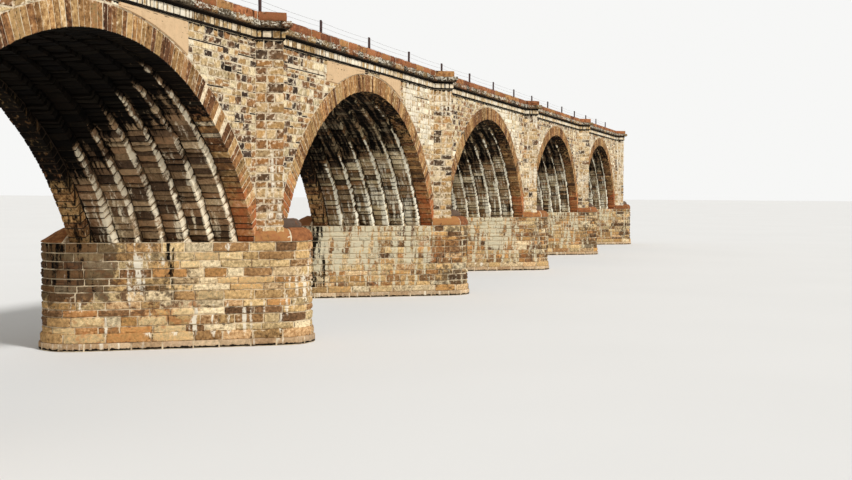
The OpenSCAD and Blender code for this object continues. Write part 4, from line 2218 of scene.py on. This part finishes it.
            # Painted shade: the far piers darken towards their back end.
            soot = 0.06 + 0.6 * ease(along, 0.36, 0.46) + 0.12 * ease(streak, 0.8, 0.93)
            middle = ease(along, -0.42, -0.2) * ease(z, 0.12, 0.3)
            damp = 0.16 + 0.3 * ease(cloud, 0.5, 0.2) + 0.45 * ease(-along, 0.3, 0.42)
            lime = 0.26 + 0.4 * middle + 0.2 * ease(streak, 0.5, 0.75)
        gap = np.abs(along[..., None] - self.drips).min(axis=-1)
        lime += 0.75 * np.exp(-(gap / 0.006)**2) * ease(z, 0.22, 0.16) * ease(z, 0.03, 0.08)
        warm = 0.16 + 0.4 * ease(self.grain.at(spots, (0.3, 0.3, 0.2)), 0.5, 0.8)
        return stains(soot, lime, damp, warm)

    def footing(self, spots: Array, part: Array) -> Array:
        """Footings: pale and dusty, with a dark line at the water.

        Args:
            spots: Points.
            part: Not used here.

        Returns:
            The stains.
        """
        cloud = self.grain.at(spots, (0.12, 0.12, 0.05))
        wet = ease(spots[..., 2], 0.008, 0.004)
        damp = 0.1 + 0.3 * wet + 0.2 * ease(cloud, 0.6, 0.9)
        return stains(0.04 + 1.3 * wet, 0.15 + 0.3 * cloud, damp, 0.15)

    def cap(self, spots: Array, part: Array) -> Array:
        """Caps: red-brown, paler where they catch the rain.

        Args:
            spots: Points.
            part: Not used here.

        Returns:
            The stains.
        """
        cloud = self.grain.at(spots, (0.06, 0.06, 0.05))
        return stains(0.08 + 0.3 * ease(cloud, 0.6, 0.95), 0.05 + 0.18 * cloud,
                      0.12 + 0.3 * ease(cloud, 0.5, 0.2), 0.2 + 0.2 * cloud)

    def band(self, spots: Array, part: Array) -> Array:
        """Band: whitewashed by lime from above, with dark runs here and there.

        Args:
            spots: Points.
            part: Not used here.

        Returns:
            The stains.
        """
        streak = self.grain.at(spots, (0.05, 0.4, 0.6))
        cloud = self.grain.at(spots, (0.5, 0.5, 0.5))
        bare = within(spots[..., 0], self.bare)
        soot = 0.05 + 0.4 * ease(streak, 0.72, 0.92) + 0.15 * bare
        lime = (0.3 + 0.4 * cloud) * (1 - 0.5 * bare)
        return stains(soot, lime, 0.06 + 0.25 * ease(cloud, 0.4, 0.1) + 0.15 * bare, 0.12)

    def cornice(self, spots: Array, part: Array) -> Array:
        """Cornice: nearly black faces with grey lichen on the upper edge, and painted shade on the
        lower edge.

        Args:
            spots: Points.
            part: Place along the profile.

        Returns:
            The stains.
        """
        streak = self.grain.at(spots, (0.06, 0.3, 0.1))
        above = ease(part, SIZE.cornice_high * 0.55, SIZE.cornice_high)
        # Painted shade: the lower part of the face is darkened, thickening the shadow line under
        # the cornice.
        below = ease(part, SIZE.cornice_high * 0.4, 0.0)
        soot = 0.34 + 0.35 * (streak - 0.5) - 0.25 * above + 0.25 * below
        return stains(soot, (1 - below) * (0.3 + 0.5 * streak), 0.3, 0.08)

    def parapet(self, spots: Array, part: Array) -> Array:
        """Parapet: evenly weathered, with runs of soot here and there.

        Args:
            spots: Points.
            part: Place along the profile.

        Returns:
            The stains.
        """
        streak = self.grain.at(spots, (0.1, 0.3, 0.2))
        above = ease(part, SIZE.parapet_high * 0.9, SIZE.parapet_high)
        damp = 0.16 + 0.25 * ease(streak, 0.4, 0.1)
        return stains(0.1 + 0.3 * ease(streak, 0.6, 0.95), 0.08 + 0.2 * above, damp, 0.25)


@dataclass
class Studio:
    """Camera, lights, floor and backdrop."""

    lens: float = 50.7
    spot: tuple = (-8.8492, -2.6434, 0.6944)
    yaw: float = 0.3015978
    pitch: float = 0.0414703
    roll: float = 0.0048304
    key_aim: tuple = (0.3, 0.72, -0.78)
    key_strength: float = 2.6
    key_width: float = 9.0
    sky: tuple = ((1.0, 0.99, 0.97, 1.0), 0.48)
    backdrop: tuple = ((0.93, 0.93, 0.92, 1.0), 1.0)
    floor_reach: float = 90.0
    floor_level: float = -0.0005

    def camera(self) -> None:
        """Stands the camera where the photograph was taken from, looking along its line."""
        cos_y, sin_y = math.cos(self.yaw), math.sin(self.yaw)
        cos_p, sin_p = math.cos(self.pitch), math.sin(self.pitch)
        forward = Vector((cos_y * cos_p, sin_y * cos_p, -sin_p))
        right = Vector((sin_y, -cos_y, 0))
        above = right.cross(forward)
        side = right * math.cos(self.roll) + above * math.sin(self.roll)
        up = above * math.cos(self.roll) - right * math.sin(self.roll)
        data = bpy.data.cameras.new("camera")
        data.lens = self.lens
        data.sensor_width = 36.0
        data.sensor_fit = "HORIZONTAL"
        data.clip_start = 0.05
        data.clip_end = 200.0
        camera = place("camera", data)
        turn = Matrix((side, up, -forward)).transposed().to_4x4()
        camera.matrix_world = Matrix.Translation(self.spot) @ turn
        bpy.context.scene.camera = camera

    def lights(self) -> None:
        """A broad key light high on the viewer's side and an even sky all round."""
        data = bpy.data.lights.new("key", "SUN")
        data.energy = self.key_strength
        data.angle = math.radians(self.key_width)
        key = place("key", data)
        key.rotation_euler = Vector(self.key_aim).to_track_quat("-Z", "Y").to_euler()
        world = bpy.data.worlds.new("sky")
        world.use_nodes = True
        tree = world.node_tree
        sky = tree.nodes["Background"]
        plain, path, seen, blend = (tree.nodes.new("ShaderNode" + kind) for kind in (
            "Background", "LightPath", "Math", "MixShader"))
        seen.operation = "MAXIMUM"
        for node, (colour, strength) in ((sky, self.sky), (plain, self.backdrop)):
            node.inputs["Color"].default_value = colour
            node.inputs["Strength"].default_value = strength
        for source, target in ((path.outputs["Is Camera Ray"], seen.inputs[0]),
                               (path.outputs["Is Glossy Ray"], seen.inputs[1]),
                               (seen.outputs[0], blend.inputs[0]),
                               (sky.outputs[0], blend.inputs[1]),
                               (plain.outputs[0], blend.inputs[2]),
                               (blend.outputs[0], tree.nodes["World Output"].inputs["Surface"])):
            tree.links.new(source, target)
        bpy.context.scene.world = world

    def floor(self) -> None:
        """A wide pale floor at water level."""
        mesh = bpy.data.meshes.new("floor")
        corners = [(x * self.floor_reach, y * self.floor_reach, self.floor_level)
                   for x, y in ((-1, -1), (1, -1), (1, 1), (-1, 1))]
        mesh.from_pydata(corners, [], [(0, 1, 2, 3)])
        r = Recipe("floor")
        colour = r.mix(r.noise(1.5, 2.0, 0.5), (226, 225, 222), (232, 231, 228))
        mesh.materials.append(r.finish(colour, 0.9, 0.1))
        floor = place("floor", mesh)

    def build(self) -> None:
        """Puts up the whole studio."""
        bpy.context.scene.view_settings.view_transform = "Standard"
        self.camera()
        self.lights()
        self.floor()


WALL_STONE = StoneFinish(
    "wall_stone",
    ((70, 56, 46), (98, 74, 54), (126, 90, 60), (148, 106, 68), (168, 128, 82), (184, 148, 98),
     (182, 152, 108), (194, 168, 124), (206, 184, 142), (216, 198, 160), (228, 212, 180),
     (240, 228, 202)),
    warm=(170, 104, 56), mortar=(234, 218, 190), speckle=1.2, contrast=0.5, smear=0.3, grit=0.9,
    shadow=0.45)
RENDER_COAT = StoneFinish(
    "render_coat", ((200, 164, 124), (214, 182, 142), (208, 172, 132)), smear=0.0, speckle=0.25,
    contrast=0.1, drift=1.2, coarse=0.03, fine=0.004, depth=0.0004)
# Painted shade: near-black backs of the open joints and holes, for the shadow inside them.
SHADED_OPENING = StoneFinish(
    "open_joint", ((14, 11, 9), (30, 24, 19)), smear=0.0, speckle=0.5, drift=1.0, coarse=0.006)
QUOIN_STONE = StoneFinish(
    "quoin_stone",
    ((68, 56, 46), (96, 76, 56), (126, 92, 62), (150, 106, 64), (168, 126, 78), (182, 146, 96),
     (202, 174, 130), (224, 206, 172)),
    warm=(170, 106, 60), mortar=(234, 218, 190), speckle=1.2, contrast=0.5, smear=0.3, grit=0.9,
    shadow=0.5)
RING_STONE = StoneFinish(
    "ring_stone",
    ((92, 62, 43), (122, 84, 54), (146, 106, 66), (160, 122, 78), (172, 140, 94),
     (152, 108, 68), (174, 134, 86), (190, 158, 112), (206, 188, 158)),
    smear=0.22, warm=(190, 104, 60), speckle=1.3, contrast=0.6, fibre=1.0, cloud=0.06,
    drift=0.6, soft=0.7, grit=0.8, shadow=0.6)
# Barrel lime is kept very bright, as it also paints the sunlit edge of each step.
BARREL_STONE = StoneFinish(
    "barrel_stone",
    ((74, 58, 45), (104, 81, 60), (134, 108, 80), (160, 134, 102), (140, 106, 76),
     (182, 158, 124)),
    mortar=(190, 168, 134), smear=0.0, warm=(140, 84, 52), lime=(252, 238, 208), speckle=1.1,
    run=(0.026, 0.19), wraps=True, coarse=0.012, depth=0.0016, soft=0.6, grit=1.1)
FAR_BARREL_STONE = replace(
    BARREL_STONE, name="far_barrel_stone", lime=(250, 244, 222), drift=0.5,
    colours=((72, 60, 46), (116, 96, 70), (146, 108, 72), (160, 140, 108), (184, 166, 130),
             (148, 116, 82), (202, 186, 152)))
BASE_STONE = StoneFinish(
    "base_stone",
    ((98, 72, 50), (130, 96, 64), (158, 120, 78), (178, 142, 94), (194, 162, 112),
     (206, 180, 134), (190, 146, 90), (172, 122, 74), (200, 172, 130), (218, 198, 160)),
    mortar=(228, 208, 174), smear=0.22, warm=(178, 114, 64), coarse=0.013, speckle=1.5,
    contrast=0.55, run=(0.024, 0.14), depth=0.0018, grit=0.9, shadow=0.8)
WASHED_STONE = replace(BASE_STONE, name="washed_stone", lime=(212, 202, 172))
FOOTING_STONE = StoneFinish(
    "footing_stone", ((164, 132, 98), (186, 156, 120), (196, 170, 136), (174, 146, 116)),
    smear=0.1, speckle=1.0, shadow=0.5)
CAP_STONE = StoneFinish(
    "cap_stone", ((124, 78, 52), (150, 98, 60), (180, 130, 78), (140, 90, 58)), smear=0.05,
    warm=(172, 98, 56), drift=0.9, coarse=0.02)
HOOD_STONE = StoneFinish(
    "hood_stone", ((70, 58, 50), (92, 76, 64), (112, 92, 76), (84, 70, 60)), smear=0.05,
    coarse=0.02)
BAND_STONE = StoneFinish(
    "band_stone",
    ((96, 76, 54), (150, 118, 74), (186, 152, 100), (212, 188, 148), (232, 214, 184),
     (242, 230, 206)), smear=0.3)
CORNICE_STONE = StoneFinish(
    "cornice_stone",
    ((62, 54, 44), (88, 76, 60), (118, 104, 82), (104, 78, 54), (130, 84, 54), (150, 122, 82),
     (72, 62, 50)), mortar=(90, 80, 64), smear=0.0, lime=(214, 206, 186), speckle=1.3,
    contrast=0.6, run=(0.014, 0.007), shadow=0.8, grit=0.9)
PARAPET_STONE = StoneFinish(
    "parapet_stone",
    ((116, 72, 50), (140, 88, 58), (164, 108, 70), (136, 84, 56), (178, 134, 84),
     (156, 98, 62)), mortar=(214, 196, 172), smear=0.0, warm=(168, 92, 54), coarse=0.02,
    drift=0.9, speckle=1.3, shadow=0.5)
GRAVEL = StoneFinish(
    "gravel", ((96, 88, 78), (132, 122, 108), (160, 148, 130)), smear=0.0, coarse=0.009,
    fine=0.003, depth=0.002)
IRON = StoneFinish(
    "weathered_post", ((98, 80, 78), (120, 100, 96)), smear=0.0, soft=0.8, coarse=0.006,
    depth=0.0002, roughness=0.75)
WIRE = StoneFinish(
    "dull_wire", ((150, 144, 140), (176, 170, 164)), smear=0.0, coarse=0.02, depth=0.0001,
    roughness=0.6)
MORTARS = (
    # Arch mortars: the inside, soffit and black colours are painted shade inside the arches, on top
    # of soot.
    ("arch_barrel", MortarFinish("sooty_shaded_mortar", (150, 126, 94), (80, 62, 46), (40, 32, 25),
                                 inside=(66, 54, 42), black=0.62)),
    ("arch_ring_front", MortarFinish("front_ring_mortar", inside=(72, 58, 44), toward=-1.0)),
    ("arch_ring_back", MortarFinish("back_ring_mortar", inside=(50, 40, 31), toward=1.0)),
    ("pier", MortarFinish("base_mortar", (222, 202, 168), (128, 98, 66), patch=0.07)),
    (("cornice", "core", "track"), MortarFinish("dark_mortar", (80, 70, 56), (50, 44, 36))),
    # Painted shadow: the band's body is near black, seen through the gaps above and below the
    # headers.
    ("band", MortarFinish("painted_shadow_bed_joints", (30, 24, 18), (18, 14, 11), (24, 19, 15))),
    ("", MortarFinish("lime_mortar")),
)


def build_walls(climate: Climate) -> None:
    """Lays the spandrels, the pilasters and the end walls.

    Args:
        climate: Where the stains lie.
    """
    stone = WALL_STONE.material()
    rubble, openings = Spandrels(Seed.WALL, climate.wall).build(climate.pale)
    rubble.put_both("spandrel_stones", "wall_stone", stone)
    openings.put_both("open_joints", "wall_stone", SHADED_OPENING.material())
    coats = RenderCoats(climate.grain).build()
    coats.put("render_coats_front", "wall_stone", RENDER_COAT.material())
    pilasters = Pilasters(Seed.PILASTER, climate.wall).build()
    pilasters.put_both("pilaster_stones", "wall_stone", QUOIN_STONE.material())
    end = EndWall(Seed.END, climate.wall).build()
    end.put("end_stones_left", "wall_stone", stone)
    end.turned().put("end_stones_right", "wall_stone", stone)


def build_arches(climate: Climate) -> None:
    """Lays the face rings and the ribs of every bay.

    Args:
        climate: Where the stains lie.
    """
    ring_stone, near_stone = RING_STONE.material(), BARREL_STONE.material()
    far_stone = FAR_BARREL_STONE.material()
    for k in SIZE.all_bays:
        ring = FaceRing(Seed.FRONT_RING + k, partial(climate.ring, k, False)).build(k)
        ring.put(f"ring_stones_front_{k}", "ring_stone", ring_stone)
        ring = FaceRing(Seed.BACK_RING + k, partial(climate.ring, k, True)).build(k).turned()
        ring.put(f"ring_stones_back_{SIZE.bays + 1 - k}", "ring_stone", ring_stone)
        ribs = Barrel(Seed.BARREL + k).build(k, partial(climate.rib, k))
        ribs.put(f"barrel_stones_{k}", "barrel_stone", near_stone if k == 1 else far_stone)


def build_piers(climate: Climate) -> None:
    """Lays the bases, plinths, footings and caps of the piers.

    Args:
        climate: Where the stains lie.
    """
    near_stone, far_stone = BASE_STONE.material(), WASHED_STONE.material()
    for k in SIZE.all_piers:
        base = PierBase(Seed.BASE + k, partial(climate.base, k)).build(k)
        base.put(f"pier_stones_{k}", "pier_stone", near_stone if k <= NEAR_PIERS else far_stone)
    out = SIZE.base_out + SIZE.plinth_out
    plinth = GroundCourse(seed=Seed.PLINTH, weather=partial(climate.base, 2), margin=out,
                          bottom=SIZE.footing_high, high=SIZE.plinth_high, rounding=0.006,
                          ledge=SIZE.plinth_out, cut=PLINTH_CUT, stone=0.15).build()
    plinth.put("plinth_stones", "pier_stone", near_stone)
    footing = GroundCourse(seed=Seed.FOOTING, weather=climate.footing,
                           margin=out + SIZE.footing_out, bottom=0.0, high=SIZE.footing_high,
                           rounding=0.002, ledge=SIZE.footing_out, cut=FOOTING_CUT,
                           stone=0.12).build()
    footing.put("footing_stones", "footing_stone", FOOTING_STONE.material())
    caps, cap_stone = CutwaterCaps(Seed.CAP, climate.cap), CAP_STONE.material()
    caps.build_lower().put("lower_caps_front", "cap_stone", cap_stone)
    caps.build_upper().put("upper_caps_front", "cap_stone", HOOD_STONE.material())
    caps.build_sloped().turned().put("sloping_caps_back", "cap_stone", cap_stone)


def build_courses(climate: Climate) -> None:
    """Lays the band, cornice, parapet, gravel and railing.

    Args:
        climate: Where the stains lie.
    """
    band = Band(Seed.BAND, climate.band).build()
    band.put_both("band_stones", "band_stone", BAND_STONE.material())
    cornice = TopCourse(seed=Seed.CORNICE, weather=climate.cornice, out=SIZE.cornice_out,
                        bottom=SIZE.cornice_bottom, high=SIZE.cornice_high,
                        back_y=-SIZE.inner_wall, stone=0.075, cut=CORNICE_CUT,
                        has_back=False).build()
    cornice.put_both("cornice_stones", "cornice_stone", CORNICE_STONE.material())
    back_y = SIZE.parapet_thick - SIZE.half_width - SIZE.parapet_out
    parapet = TopCourse(seed=Seed.PARAPET, weather=climate.parapet, out=SIZE.parapet_out,
                        bottom=SIZE.cornice_top, high=SIZE.parapet_high, back_y=back_y,
                        stone=0.13, cut=PARAPET_CUT, has_back=True).build()
    parapet.put_both("parapet_stones", "parapet_stone", PARAPET_STONE.material())
    gravel = GravelBed(climate.grain).build()
    gravel.put("gravel", "gravel_bed", GRAVEL.material())
    iron, wire = IRON.material(), WIRE.material()
    for side in Side:
        Railing(Seed.RAILING).build(side, iron, wire)


def dress_bodies() -> None:
    """Gives the plain bodies behind the stones their mortar, the rest the last of the list."""
    left = [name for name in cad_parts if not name.startswith("railing")]
    for start, finish in MORTARS:
        found = [name for name in left if name.startswith(start)]
        dress(found, finish.material())
        left = [name for name in left if name not in found]


def build_all() -> None:
    """Builds every sub-assembly, lays its stones on both sides and dresses the plain bodies."""
    climate = Climate(Grain(Seed.GRAIN))
    Studio().build()
    build_walls(climate)
    build_arches(climate)
    build_piers(climate)
    build_courses(climate)
    dress_bodies()


def main() -> None:
    """Builds the scene."""
    logging.basicConfig(level=logging.INFO, format="%(name)s %(message)s")
    build_all()


if __name__ == "__main__":
    main()
